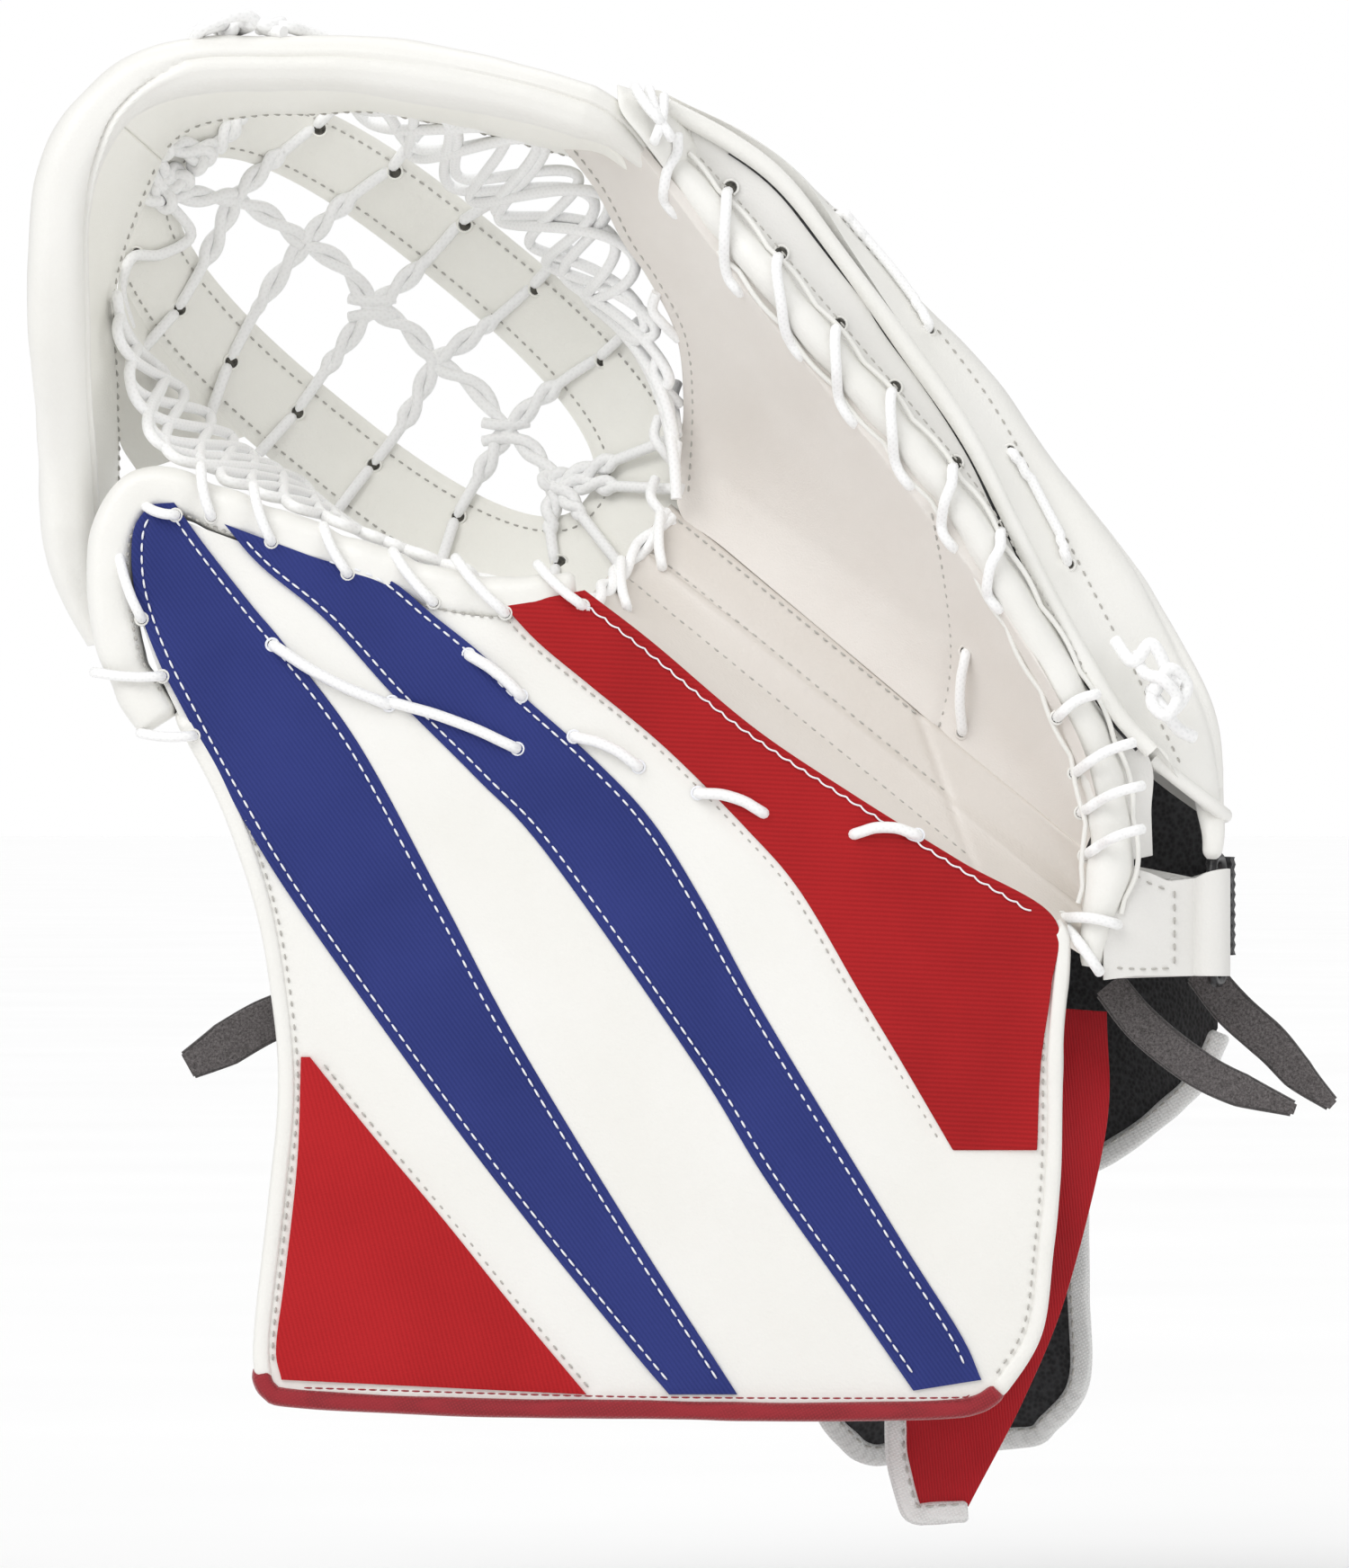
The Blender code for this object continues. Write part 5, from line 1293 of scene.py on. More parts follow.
def build_web_lace():
    """The net across the opening: twisted pairs of lace that cross along the middle."""
    net, eyelets = Soup(), (Soup(), Soup())
    for k in range(len(WEB_KNOTS) - 1):
        a, b = np.array(WEB_KNOTS[k]), np.array(WEB_KNOTS[k + 1])
        away = unit(np.array([-(b - a)[1], (b - a)[0]]))
        middle = 0.5 * (a + b) + away * (1.0, 3.0, 2.4, 3.0, 1.5)[k]
        path = on_stem(smooth((a, middle, b), 14), 3.4)
        twisted(net, path, turns=1.0, phase=0.4 + 0.8 * k)
    spokes = [(k, UPPER_EYELETS[k]) for k in range(5)] + [(k, LOWER_EYELETS[k + 1]) for k in range(6)]
    for k, (start, stop) in enumerate(spokes):
        a, b = np.array(WEB_KNOTS[start]), np.array(stop)
        line = stem_line(a, b, 3.2, 11)
        share = np.linspace(0.0, 1.0, 11)
        line[:, 1] += 1.2 * share ** 2
        line[-1, 1] += 3.0
        bow = unit(np.array([-(b - a)[1], 0.0, (b - a)[0]])) * (1.6 * math.sin(1.7 * k + 0.5))
        line = line + np.sin(math.pi * share)[:, None] * bow
        twisted(net, line, turns=1.0, phase=0.9 * k + 0.4, until=0.58)
        beyond = unit(b - a)
        across = np.array([-beyond[1], beyond[0]]) * (0.25 * math.sin(2.3 * k))
        route = [on_stem((b + (beyond + across) * step,), lift)[0]
                 for step, lift in ((0.6, -1.5), (1.6, 2.4), (6.0, 3.4), (10.5, 3.6), (15.0, 3.0))]
        net.tube(smooth(route, 26), NET_LACE)
    for k in (2, 4):
        spot = on_stem((WEB_KNOTS[k],), 4.6)[0]
        for rise in (-2.2, 2.2):
            bar = [spot + (-6.4, 1.4, 1.2 * rise), spot + (-2.6, 0.0, 0.9 * rise),
                   spot + (2.6, 0.0, 0.9 * rise), spot + (6.4, 1.4, 1.2 * rise)]
            net.tube(smooth(bar, 14), NET_LACE)
    knot(net, on_stem((WEB_KNOTS[5],), 4.2)[0], 4.0, NET_LACE, 0.9)
    for k, spot in enumerate(UPPER_EYELETS + LOWER_EYELETS):
        place = on_stem((spot,), 1.6)[0]
        hold(place + (1.0, 0.0, -0.9 if k < 5 else 0.9), FRONT, 1.9, eyelets)
    for stop in ((-60.5, 70.5), (-60.0, 55.0)):
        line = stem_line(WEB_KNOTS[5], stop, 4.5, 10)
        line[:, 1] -= 4.0 * np.linspace(0.0, 1.0, 10) ** 2
        twisted(net, line, turns=1.2, until=0.45)
    line = stem_line(WEB_KNOTS[5], (-78.0, 34.0), 5.0, 8)
    twisted(net, line, turns=1.0, until=0.4)
    cluster = ((-208.5, 152.0), (-197.0, 149.0), (-207.5, 138.5), (-203.0, 143.0))
    for k, spot in enumerate(cluster):
        knot(net, on_stem((spot,), 6.0)[0], (4.2, 3.8, 4.4, 3.6)[k], NET_LACE, 1.3 * k)
    for start, stop in ((cluster[2], WEB_KNOTS[0]), (cluster[0], (-192.0, 152.0)),
                        ((-192.0, 152.0), (-181.0, 166.0)), (cluster[0], cluster[2])):
        twisted(net, stem_line(start, stop, 4.5, 8), turns=1.0, until=0.7 if stop[1] > 160 else 1.0)
    sweep = (cluster[2], (-199.5, 128.0), (-208.0, 122.0), LOWER_EYELETS[0], (-219.0, 112.0), (-216.5, 101.0))
    net.tube(on_stem(smooth(sweep, 40), 4.0), NET_LACE)
    net.build("web_net_lace", "net_lace", "web", "lace", "web_lace")
    build_eyelets("web_eyelet", eyelets, "web", "band_leather_painted_light", "white_leather")


FINGER_NET_FAR = ((-166, 36, 165), (-141, 40, 163), (-119.5, 42, 159), (-101.5, 44, 154), (-86, 46, 144),
                  (-78, 47, 130), (-72, 48, 115), (-66, 50, 98), (-62.5, 50, 79), (-62, 50, 60),
                  (-62, 46, 48))
THUMB_NET_FAR = ((-219, 40, 112), (-218, 34, 94), (-214, 28, 76), (-204, 23, 64), (-190, 20, 57),
                 (-168, 19, 49), (-148, 19, 42), (-128, 20, 35), (-108, 20, 28), (-90, 20, 24))


def mesh_between(soup, far, near, strands, waves, seed):
    """Open net of laces that run side by side between two routes and cross each other."""
    count = 240
    a, b = smooth(far, count), smooth(near, count)
    share = np.linspace(0.0, 1.0, count)
    rng = np.random.default_rng(seed)
    for j in range(strands):
        phase = 2 * math.pi * j / strands + rng.uniform(-0.4, 0.4)
        drift = rng.uniform(-1.0, 1.0, 4)
        pace = share + 0.025 * np.sin(2 * math.pi * (2.0 + drift[0]) * share + 3 * drift[1])
        swing = np.sin(2 * math.pi * waves * pace + phase)
        across = 0.5 + (0.42 + 0.05 * drift[2]) * swing + 0.05 * np.sin(7 * share + 5 * drift[3])
        lift = 4.0 + 1.8 * np.cos(2 * math.pi * waves * pace + phase) * (-1) ** j + 1.2 * drift[2]
        lift = lift + 5.5 * np.sin(math.pi * np.clip(across, 0.0, 1.0))
        line = a + (b - a) * across[:, None] + FRONT * lift[:, None]
        soup.tube(line, NET_LACE)


def build_nets():
    """Loose lacing between the web and the crossbar, the palm and the board."""
    for name, far, across, last, seed, pair, reach in (
            ("finger", FINGER_NET_FAR, 45.5, -20, 11, ("hand", "web"), (80, 46)),
            ("thumb", THUMB_NET_FAR, -45.5, -12, 5, ("web", "thumb"), (-46, -80))):
        net = Soup()
        near = [stem_spot(along, across, 0.5) for along in np.linspace(-150, last, 9)]
        mesh_between(net, far, near, 5, 4, seed)
        piece = net.build(name + "_side_net", "net_lace", None, "lace", name + "_net_lace")
        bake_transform(piece)
    edge = Soup()
    for x, z, reach in ((-67.5, 108.0, 11.0), (-67.0, 91.0, 12.0), (-67.0, 73.5, 13.0), (-68.0, 56.0, 12.0)):
        spots = ((x, z + 2.0), (x - 1.2, z - 0.25 * reach), (x + 1.6, z - 0.6 * reach), (x + 6.2, z - reach))
        lifts = (1.0, 4.5, 4.0, -1.5)
        edge.tube(smooth([on_palm((spot,), lift)[0] for spot, lift in zip(spots, lifts)], 26), 1.5)
    piece = edge.build("palm_edge_laces", "net_lace", None, "lace")
    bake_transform(piece)


def rim_lines(count):
    """Middle line, wall edge and normals of the whole crossbar."""
    fine = smooth([(x, y, z) for (x, z), y in zip(RIM_ROUTE, RIM_DEPTH)], 200)
    rear = smooth(WALL_REAR, 200)
    places = np.linspace(0.0, 1.0, count) * 199
    stations = np.arange(200)
    normal = outward(fine)
    route = spots_at(places, stations, fine)
    route[:, 0] += 4.5 * np.clip(1 - np.arange(count) / 26.0, 0.0, 1.0) ** 1.5
    rear = spots_at(places, stations, rear)
    side = unit(spots_at(places, stations, normal))
    split = int(np.argmin(np.abs(fold_coords(route[:, 0], route[:, 2])[1])))
    near = bell(np.arange(count) - split, 9.0)[:, None]
    side = unit(side * (1 - near) + np.array((-FOLD_ALONG[0], 0.0, -FOLD_ALONG[1])) * near)
    for path, columns in ((route, (0, 2)), (rear, (0, 1))):
        off = float(fold_coords(path[split, columns[0]], path[split, columns[1]])[1])
        for column, share in zip(columns, FOLD_ACROSS):
            path[:, column] -= off * share * near[:, 0]
    return route, rear, side, split


def bend_at_fold(piece, upper):
    """Bakes the transform of a piece of the crossbar into its mesh; both halves are treated alike and nothing
    is bent.
    """
    if upper:
        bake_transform(piece)
    else:
        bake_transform(piece)


def rim_section(count, station):
    """Section of the crossbar at one of its stations: offsets along the normal and along Y."""
    angles = np.linspace(0.0, 2 * math.pi, count, endpoint=False)
    c, s = rounded(np.cos(angles), 0.72), rounded(np.sin(angles), 0.8)
    turn = np.interp(station, (0, 122, 148, 172, 300), (3.62, 3.62, 4.3, 4.78, 4.86))
    depth = np.interp(station, (0, 100, 136, 160, 180, 300), (0.5, 0.6, 1.3, 1.0, 0.7, 0.7))
    groove = depth * (0.75 * bell(angles - turn + 0.16, 0.14) - 1.25 * bell(angles - turn - 0.03, 0.055))
    wide = np.interp(station, (0, 110, 175, 300), (8.3, 8.4, 8.0, 8.0))
    size = np.interp(station, (0, 30, 274, 300), (0.58, 1.0, 1.0, 0.3))
    return (wide + groove) * c * size, (12.0 + groove) * s * size


def build_rim():
    """The padded crossbar, its inner wall, its seams and the knot on top."""
    route, rear, side, split = rim_lines(RIM_STATIONS)
    fold = bell(np.arange(RIM_STATIONS) - split, 5.0)
    halves = (("lower", False, slice(0, split + 1)), ("upper", True, slice(split, RIM_STATIONS)))
    for name, upper, part in halves:
        rings = []
        for k in range(part.start, part.stop):
            n, y = rim_section(90, k)
            pinch = 1.0 - 0.05 * fold[k]
            rings.append(route[k] + side[k] * (n * pinch)[:, None] + np.outer(y * pinch, (0.0, 1.0, 0.0)))
        rings = crumple(crumple(np.array(rings), 38.0, 1.3, 1.0), 13.0, 0.4, 6.0)
        roll = loft("crossbar_padding_" + name, rings, "white_leather")
        stand_for(roll, "white_leather", "crossbar_roll_" + name)
        bend_at_fold(roll, upper)
        front, back = [], []
        for k in range(part.start, part.stop):
            start = route[k] - side[k] * 6.0 + np.array([0.0, 4.0, 0.0])
            deep = max(54.0, route[k][1] + 25.8)
            stop = np.array([rear[k][0], deep, rear[k][1]])
            line = start + (stop - start) * np.linspace(0.0, 1.0, 24)[:, None]
            puff = 1.6 * np.sin(math.pi * np.linspace(0.0, 1.0, 24)) ** 0.7
            line = line - side[k] * puff[:, None]
            front.append(line)
            back.append(line + side[k] * 5.2)
        front, back = np.array(front), np.array(back)
        front = front - side[part][:, None, :] * wrinkle(front, 20.0, 1.1, 8.0)[..., None]
        # the inner wall gets the band leather, lightened with painted light against the shade it stands in
        wall = slab("crossbar_lining_" + name, front, back, "band_leather_painted_light", bevel=0.8)
        stand_for(wall, "white_leather", "crossbar_wall_" + name)
        bend_at_fold(wall, upper)
        thread = Soup()
        thread.stitches((front[:, 20] - side[part] * 0.1)[3:-3], *FINE_SEAM, -side[split])
        seams = thread.build("crossbar_stitching_" + name, "grey_thread", None, "lace")
        stand_for(seams, "lace")
        bend_at_fold(seams, upper)
    angles = np.linspace(math.pi * 1.2, math.pi * 1.46, 40)
    c = -np.abs(np.cos(angles)) ** 0.75
    reach = -np.abs(np.sin(angles)) ** 0.75
    inner = np.array([stem_spot(-84.0 + 94.0 * c[k], 44.5 * reach[k], -0.6) for k in range(40)])
    outer = smooth(((-218.5, 54, 118), (-220.5, 54, 104), (-221, 56, 88), (-219.5, 58, 70), (-214, 58, 60)),
                   40)
    share = np.linspace(0.0, 1.0, 24)[:, None]
    sheet = outer[:, None] + (inner - outer)[:, None] * share
    sheet[..., 1] -= 1.6 * np.sin(math.pi * share[:, 0])
    gusset = slab("crossbar_gusset", sheet, sheet + (0.0, 2.4, 0.0), "band_leather_painted_light", bevel=0.5)
    stand_for(gusset, "white_leather")
    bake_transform(gusset)
    left = smooth(((-78.5, -3, 166.5), (-77.5, -13.5, 159), (-71.5, -13.5, 151), (-65, -6, 142.5)), 50)
    right = smooth(((-67, 5, 163.5), (-60, 4, 156.5), (-56, 5, 149.5), (-54, 9, 140)), 50)
    sheet = left[:, None] + (right - left)[:, None] * np.linspace(0.0, 1.0, 30)[:, None]
    sheet[..., 1] -= 1.8 * pillow(sheet.shape[:2], 6) + wrinkle(sheet, 12.0, 0.6, 4.0)
    corner = slab("crossbar_end_leather", sheet, sheet + (0.0, 3.0, 0.0), "white_leather", "hand", bevel=0.8)
    stand_for(corner, "white_leather")
    wraps = Soup()
    for a, b, bow in (((-69.5, -5, 165), (-63.5, -12, 151.5), 1.0),
                      ((-65.5, -4, 163), (-68.0, -13, 150.5), -0.8),
                      ((-73.5, -8, 165.5), (-66.5, -13, 156), 0.5)):
        whip(wraps, a, b, rise=3.0, bow=bow, sink=2.0)
    wraps.build("crossbar_end_laces", "lace", "hand", "lace")
    tie = Soup()
    loop = ((-197, -4, 182.5), (-191, -7, 184.5), (-186, 0, 186), (-180, -6, 185.5), (-184, 2, 184.2),
            (-190, 4, 184.5), (-183, -2, 187), (-176, -5, 185), (-172, 2, 186.2), (-178, 5, 184.6),
            (-171, -3, 184.8), (-165, 2, 183.5), (-160, 5, 182.0))
    tie.tube(smooth(loop, 150), 1.8)
    bow = ((-196, -5, 181.5), (-193, -9, 184.5), (-187, -10, 187), (-181, -7, 187.5), (-176, -3, 184),
           (-171, -7, 183))
    tie.tube(smooth(bow, 60), 1.8)
    knot(tie, np.array((-187.0, 0.0, 185.2)), 3.8, 1.6, 0.4, np.array((0.0, -0.5, 0.86)))
    tie.points = [spots - np.array((0.0, 0.0, 2.2)) for spots in tie.points]
    tie.build("crossbar_tie", "lace", "hand", "lace", "crossbar_knot")


# ---------------------------------------------------------------- wrist
def build_backhand():
    """The padded cover on the back of the hand, with its sewn channels."""
    inner_side = ((-16, 62), (-14, 30), (-4, 0), (2, -34), (6, -60))
    outer_side = ((44, 62), (66, 34), (80, 4), (88, -26), (90, -56))
    flat = ruled(inner_side, outer_side, 110, 80)
    bulge = np.linspace(-1.0, 1.0, 80)[None, :]
    rows = np.linspace(0.0, 1.0, 110)[:, None]
    height = 112.0 - 12.0 * bulge ** 2 - 10.0 * rows
    surface = grid_of(flat[..., 0], height, flat[..., 1])
    channels = 0.0 * rows * bulge
    for place in (0.22, 0.45, 0.68, 0.88):
        channels = channels - 2.2 * bell(rows - place - 0.03 * bulge, 0.018)
    puff = (2.4 * pillow(channels.shape, 4) ** 0.5 + channels)[..., None] * BACK
    cover = slab("backhand_cover_leather", surface, surface + (0, 2.4, 0) + puff, "white_leather", "hand",
                 bevel=0.8)
    stand_for(cover, "white_leather", "backhand_cover")
    pad = slab("backhand_padding", surface - (0, 10.0, 0), surface - (0, 0.2, 0), "black_lining", "hand",
               bevel=2.0)
    stand_for(pad, "foam", "backhand_foam")
    thread = Soup()
    outer = surface + (0, 2.5, 0) + puff
    for place in (0.22, 0.45, 0.68, 0.88):
        thread.stitches(outer[int(place * 109), 5:-5], *CHANNEL_SEAM, BACK)
    for column in (4, -5):
        thread.stitches(outer[5:-5, column], *CHANNEL_SEAM, BACK)
    thread.build("backhand_stitching", "grey_thread", "hand", "lace")


def arch_rings(centre, half_width, rise, half_length, thickness, along, sides=10):
    """Rounded strap sections over an arch in Y."""
    across = (-along[1], along[0])
    rings = []
    for a in np.radians(np.linspace(0.0, 180.0, 70)):
        ring = []
        for t in np.linspace(0.0, 2 * math.pi, sides * 2, endpoint=False):
            u = rounded(math.cos(t), 0.35)
            v = 0.5 + 0.5 * rounded(math.sin(t), 0.5)
            reach = (half_length + thickness * v) * math.cos(a)
            x = centre[0] + along[0] * reach + across[0] * half_width * u
            z = centre[2] + along[1] * reach + across[1] * half_width * u
            ring.append((x, centre[1] + (rise + thickness * v) * math.sin(a), z))
        rings.append(ring)
    return np.array(rings)


def build_inner_straps():
    """Strap across the back of the hand and the thumb loop on the board."""
    strap = loft("hand_strap_webbing", arch_rings((20, 59, 10), 12.0, 9.0, 28.0, 2.0, (0.94, -0.34)),
                 "black_lining", "hand")
    stand_for(strap, "black_lining", "hand_strap")
    loop = loft("thumb_loop_webbing", arch_rings((-140, 30, -12), 12.0, 22.0, 20.0, 2.0, (0.62, -0.78)),
                "black_lining", "thumb")
    stand_for(loop, "black_lining", "thumb_loop")


def build_ring_tab():
    """White leather tab with its curled end, where the ring sits."""
    angles = np.radians(np.linspace(-160, 120, 60))
    centre = np.array((87.5, 14.0))
    outer = [centre + 5.2 * np.array((math.cos(a), math.sin(a))) for a in angles]
    inner = [centre + 2.9 * np.array((math.cos(a), math.sin(a))) for a in angles[::-1]]
    front = smooth([(57.0, 6.2), (66.0, 7.2), (76.0, 9.6)], 20)
    rear = smooth([(78.0, 12.0), (66.0, 9.8), (57.0, 9.2)], 20)
    outline = np.vstack([front, outer, inner, rear])
    rings = []
    for share in np.linspace(0.0, 1.0, 44):
        dip = 4.0 * bell(outline[:, 0] - 78.0, 7.0) * (share > 0.5) * (2 * share - 1)
        left = np.clip((66.0 - outline[:, 0]) / 10.0, 0.0, 1.0)
        z = -81.6 + (30.0 + 3.5 * left) * share - dip - 1.2 * left * (1 - share)
        rings.append(np.column_stack([outline[:, 0], outline[:, 1], z]))
    tab = loft("ring_tab_leather", rings, "tab_leather", "hand", sharp=35)
    soften(tab, 0.35, 60)
    stand_for(tab, "white_leather", "ring_tab")
    thread = Soup()
    line = np.column_stack([np.full(30, 77.0), np.full(30, 9.5), np.linspace(-79, -57, 30)])
    thread.stitches(line, *FINE_SEAM)
    row = smooth([(60, 6.4, -79.2), (68, 7.5, -79.6), (76, 9.3, -79.4)], 30)
    thread.stitches(row, *FINE_SEAM)
    row = smooth([(62, 6.6, -50.4), (69, 7.7, -55.2), (75, 9.1, -57.6)], 30)
    thread.stitches(row, *FINE_SEAM)
    thread.build("ring_tab_stitching", "grey_thread", "hand", "lace")


def build_ring():
    """The wire ring, better coated than the plain solid, and the elastic that it pulls."""
    half, width, corner = 17.5, 14.0, 5.0
    top, far = half - corner, width - corner
    points = []
    for cx, cz, start in ((far, top, 0), (corner, top, 90), (corner, -top, 180), (far, -top, 270)):
        for a in np.radians(np.linspace(start, start + 90, 12)):
            reach = cx + corner * math.cos(a)
            points.append((87.5 + 0.25 * reach, 14.0 + 0.97 * reach, -66.0 + cz + corner * math.sin(a)))
    ring = Soup()
    ring.tube(np.array(points), 1.4, 16, closed=True)
    ring.build("strap_ring_wire", "black_metal", "ring", "black_metal", "strap_ring")
    route = smooth([(91.5, 28.5, 0), (92.6, 38.0, 0), (92.2, 52.0, 0), (90.8, 66.0, 0), (88.6, 80.0, 0)],
                   90)[:, :2]
    front, back = [], []
    for k, (x, y) in enumerate(route):
        wave = 0.35 * math.sin(k * 1.4)
        z = np.linspace(-76.0, -48.5, 40)
        rib = 0.22 * np.cos(np.arange(40) * math.pi / 2)
        front.append(np.column_stack([np.full(40, x - 0.2 - wave) - rib, np.full(40, y), z]))
        back.append(np.column_stack([np.full(40, x + 2.0 + wave) + rib, np.full(40, y), z]))
    elastic = slab("wrist_elastic_band", np.array(front), np.array(back), "black_lining")
    stand_for(elastic, "black_lining", "wrist_elastic")
    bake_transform(elastic)


def strap_piece(name, route, widths, body, node_name):
    """A felt strap: soft flat section, edges darkened with painted shade and a sheen of fibres."""
    line = smooth(route, 80)
    side = outward(line)
    half = 0.5 * np.interp(np.linspace(0.0, 1.0, 80), np.linspace(0.0, 1.0, len(widths)), widths)
    twist = 0.5 * np.sin(np.linspace(0.0, 5.0, 80))
    rings = []
    for k in range(80):
        ring = []
        for t in np.linspace(0.0, 2 * math.pi, 28, endpoint=False):
            u, v = rounded(math.cos(t), 0.3), rounded(math.sin(t), 0.45)
            ring.append(line[k] + side[k] * half[k] * u
                        + np.array([0.0, 1.1 + 1.1 * v + twist[k] * 0.3 * u, 0.0]))
        rings.append(ring)
    stand_for(loft(name, crumple(np.array(rings), 9.0, 0.25), "grey_felt", body), "grey_felt", node_name)
    # darker tubes along both sides of the strap: painted shade on its edges
    edges = Soup()
    for sign in (1.0, -1.0):
        edges.tube((line + side * (half * sign * 0.97)[:, None] + (0.0, 1.1, 0.0))[1:-1], 0.75, 8)
    edges.build(name + "_edges", "felt_edge", body, "grey_felt")


def build_pull_straps():
    """The three felt pull ends."""
    strap_piece("pull_strap_lower_felt",
                ((59, 22, -84), (68, 21, -95), (80, 20, -105), (92, 19, -112), (111, 18, -119)),
                (8.5, 9.5, 9.5, 8.5, 3.0), "strap_lower", "pull_strap_lower")
    strap_piece("pull_strap_upper_felt",
                ((85, 31, -80), (94, 30, -91), (105, 29, -101), (113, 28, -110), (122, 27, -118)),
                (9.0, 10.0, 10.0, 8.5, 3.0), "strap_upper", "pull_strap_upper")
    strap_piece("pull_strap_left_felt",
                ((-166, 28, -90), (-178, 28, -95), (-190, 28.5, -102), (-199, 29, -107)),
                (11.0, 11.5, 11.5, 7.0), "strap_left", "pull_strap_left")


def wrap_depth(x, z):
    """Depth of the wrist wrap, which curves round the arm."""
    return 98.0 - 36.0 * ((x - 40.0) / 51.0) ** 2


def flap_depth(x, z):
    """Depth of the red side flap."""
    return 36.0 + 5.0 * ((x - 20.0) / 40.0) ** 2


def guard_depth(x, z):
    """Depth of the forearm guard."""
    return 90.0 - 9.0 * ((x - 20.0) / 36.0) ** 2


def edge_binding(name, border, depth, body, node_name):
    """White woven tape folded round the edge of a wrap."""
    border = smooth(border, 180)
    out = -left_of(border)
    away = border + out * 1.2
    route = raised(away, depth(away[:, 0], away[:, 1]) + 1.5)
    rings = crumple(oval_rings(route, 3.2, 3.1, 22, 0.3, 0.7), 9.0, 0.35)
    stand_for(loft(name, rings, "white_tape", body), "white_tape", node_name)
    thread = Soup()
    thread.stitches((route - raised(out, 0.0) * 2.2 + FRONT * 3.0)[4:-4], 3.4, 2.0, 0.28)
    thread.build(name + "_stitching", "grey_thread", body, "lace")


def wrap_sheet(name, sides, depth, material, body, node_name, slot_name, folds=1.2, backing="black_lining"):
    """A padded wrap: an outer cloth and a knitted lining, softly folded."""
    flat = ruled(*sides, 110, 80)
    x, z = flat[..., 0], flat[..., 1]
    puff = 1.2 * pillow(x.shape, 6)
    level = grid_of(x, 0 * x, z)
    sway = wrinkle(level, 30.0, folds, 4.0) + wrinkle(level, 12.0, folds / 3, 9.0)
    front = grid_of(x, depth(x, z) - puff * 0.5 + sway, z)
    middle = front + (0, 1.6, 0)
    back = grid_of(x, depth(x, z) + 3.0 + puff + sway, z)
    sheet = slab(name, front, middle, material, body, bevel=0.3)
    stand_for(sheet, slot_name, node_name)
    lining = slab(name + "_lining", middle + (0, 0.05, 0), back, backing, body, bevel=0.5)
    stand_for(lining, "black_lining")
    return flat


def build_wraps():
    """Wrist wrap, red side flap and forearm guard with their white tapes."""
    upper = ((8, -64), (40, -64), (66, -68), (91, -82))
    lower = ((10, -138), (40, -140), (62, -131), (83, -113), (91, -97))
    flat = wrap_sheet("wrist_wrap_cloth", (upper, lower), wrap_depth, "black_lining", "hand", "wrist_wrap",
                      "black_lining", backing="white_leather")
    edge_binding("wrist_wrap_tape", flat[::6, -1], wrap_depth, "hand", "wrist_wrap_binding")
    left = ((8, -88), (4, -130), (2, -180), (1, -214), (5, -232))
    right = ((59, -92), (59, -124), (48, -170), (36, -200), (20, -231))
    flat = wrap_sheet("side_flap_satin", (left, right), flap_depth, "red_satin", "flap", "side_flap",
                      "red_fabric", 1.8)
    edge_binding("side_flap_tape", np.vstack([flat[60::6, 0], flat[-1, 6::6]]), flap_depth, "flap",
                 "side_flap_binding")
    left = ((-19, -147), (-19, -175), (-19, -204), (-8, -218))
    right = ((51, -147), (51, -172), (51, -198), (40, -212))
    flat = wrap_sheet("forearm_guard_cloth", (left, right), guard_depth, "black_lining", "guard",
                      "forearm_guard", "black_lining", backing="white_leather")
    border = np.vstack([flat[4::6, 0], flat[-1, 4:-4:6], flat[:0:-6, -1]])
    edge_binding("forearm_guard_tape", border, guard_depth, "guard", "forearm_guard_binding")


# ---------------------------------------------------------------- stage, light and camera
def floor_material():
    """A pale, matt floor, a little uneven in tone."""
    material, shader = new_material("pale_floor", (0.93, 0.93, 0.93), 0.9)
    cloud = noise_node(material, coordinates(material), 3.0, 2.0)
    tint(material, shader, cloud, (0.92, 0.92, 0.92), (0.94, 0.94, 0.94))
    return material


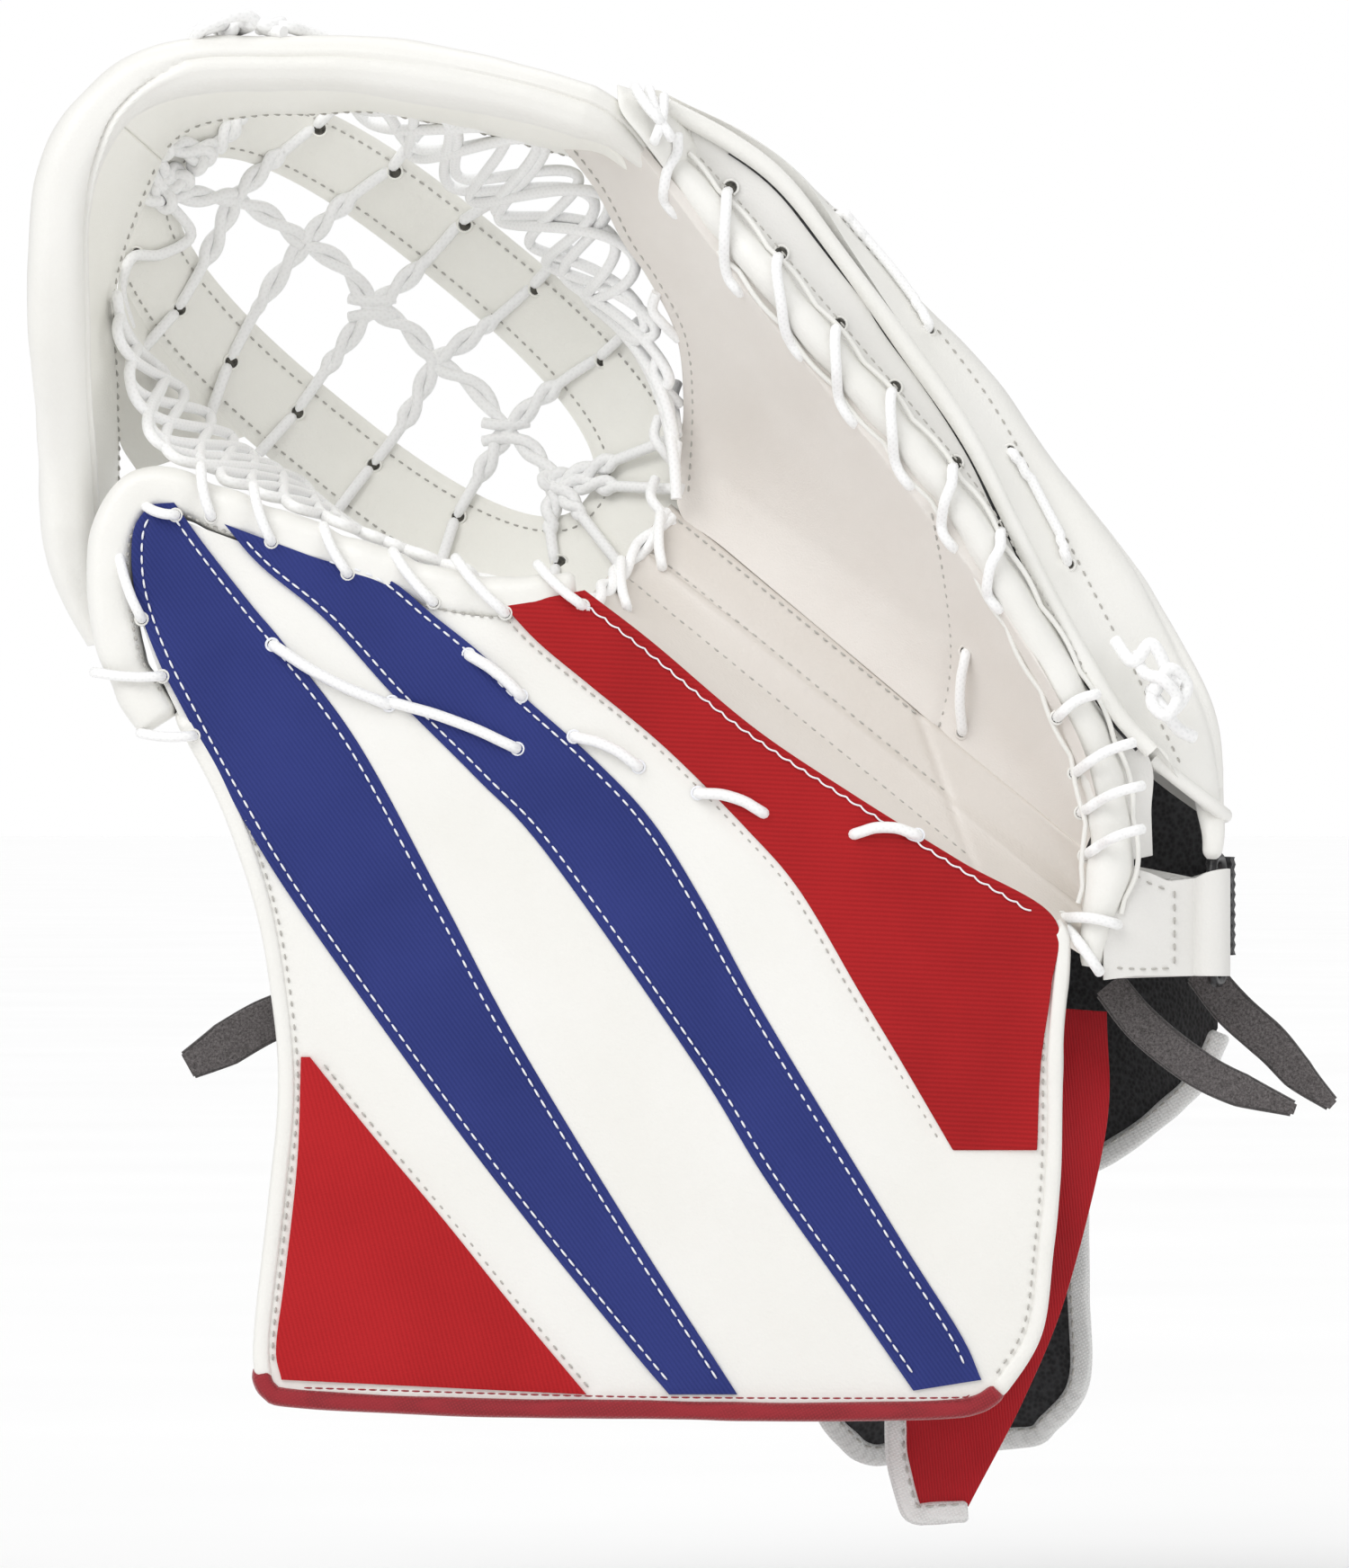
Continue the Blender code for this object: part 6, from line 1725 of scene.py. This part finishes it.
def soft_light(name, origin, strength, angle):
    """A very wide sun, which lights the object and the floor evenly like a large softbox."""
    light = bpy.data.lights.new(name, "SUN")
    light.energy = strength
    light.angle = math.radians(angle)
    lamp = bpy.data.objects.new(name, light)
    lamp.location = origin
    lamp.rotation_euler = (-Vector(origin)).to_track_quat("-Z", "Y").to_euler()
    bpy.context.scene.collection.objects.link(lamp)


def build_world():
    """White backdrop for the camera, and a dimmer white sky that fills the shadows."""
    world = bpy.data.worlds.new("studio")
    world.use_nodes = True
    nodes, links = world.node_tree.nodes, world.node_tree.links
    background = nodes["Background"]
    background.inputs["Color"].default_value = (1.0, 1.0, 1.0, 1.0)
    seen = nodes.new("ShaderNodeLightPath")
    level = nodes.new("ShaderNodeMapRange")
    level.inputs["To Min"].default_value = SKY_LEVEL
    level.inputs["To Max"].default_value = 1.0
    links.new(seen.outputs["Is Camera Ray"], level.inputs["Value"])
    links.new(level.outputs["Result"], background.inputs["Strength"])
    bpy.context.scene.world = world


def build_stage():
    """Plain pale floor, soft studio light and the camera."""
    mesh = bpy.data.meshes.new("floor")
    reach, level = 60.0, -0.262
    mesh.from_pydata([(-reach, -reach, level), (reach, -reach, level), (reach, reach, level),
                      (-reach, reach, level)],
                     [], [(0, 1, 2, 3)])
    mesh.materials.append(floor_material())
    floor = bpy.data.objects.new("floor", mesh)
    bpy.context.scene.collection.objects.link(floor)
    soft_light("key_light", (-1.6, -2.0, 2.2), 1.55, 50.0)
    soft_light("fill_light", (2.2, -2.0, 0.7), 0.55, 60.0)
    soft_light("top_light", (0.3, 1.2, 2.6), 0.9, 60.0)
    build_world()
    scene = bpy.context.scene
    scene.view_settings.view_transform = "Standard"
    lens = bpy.data.cameras.new("camera")
    lens.sensor_width = 36.0
    lens.lens = 330.0
    lens.clip_end = 200.0
    camera = bpy.data.objects.new("camera", lens)
    camera.location = (-0.0625, -4.0, -0.028)
    camera.rotation_euler = (math.radians(90), 0.0, 0.0)
    scene.collection.objects.link(camera)
    scene.camera = camera


def main():
    """Builds the pieces and the stage."""
    for build in (build_board, build_panels, build_board_stitches, build_bindings, build_thumb_roll,
                  build_cuff_laces, build_palm, build_break, build_perimeter, build_fingers, build_web_band,
                  build_web_lace, build_nets, build_rim, build_backhand, build_inner_straps, build_ring_tab,
                  build_ring, build_pull_straps, build_wraps, build_stage):
        build()


main()
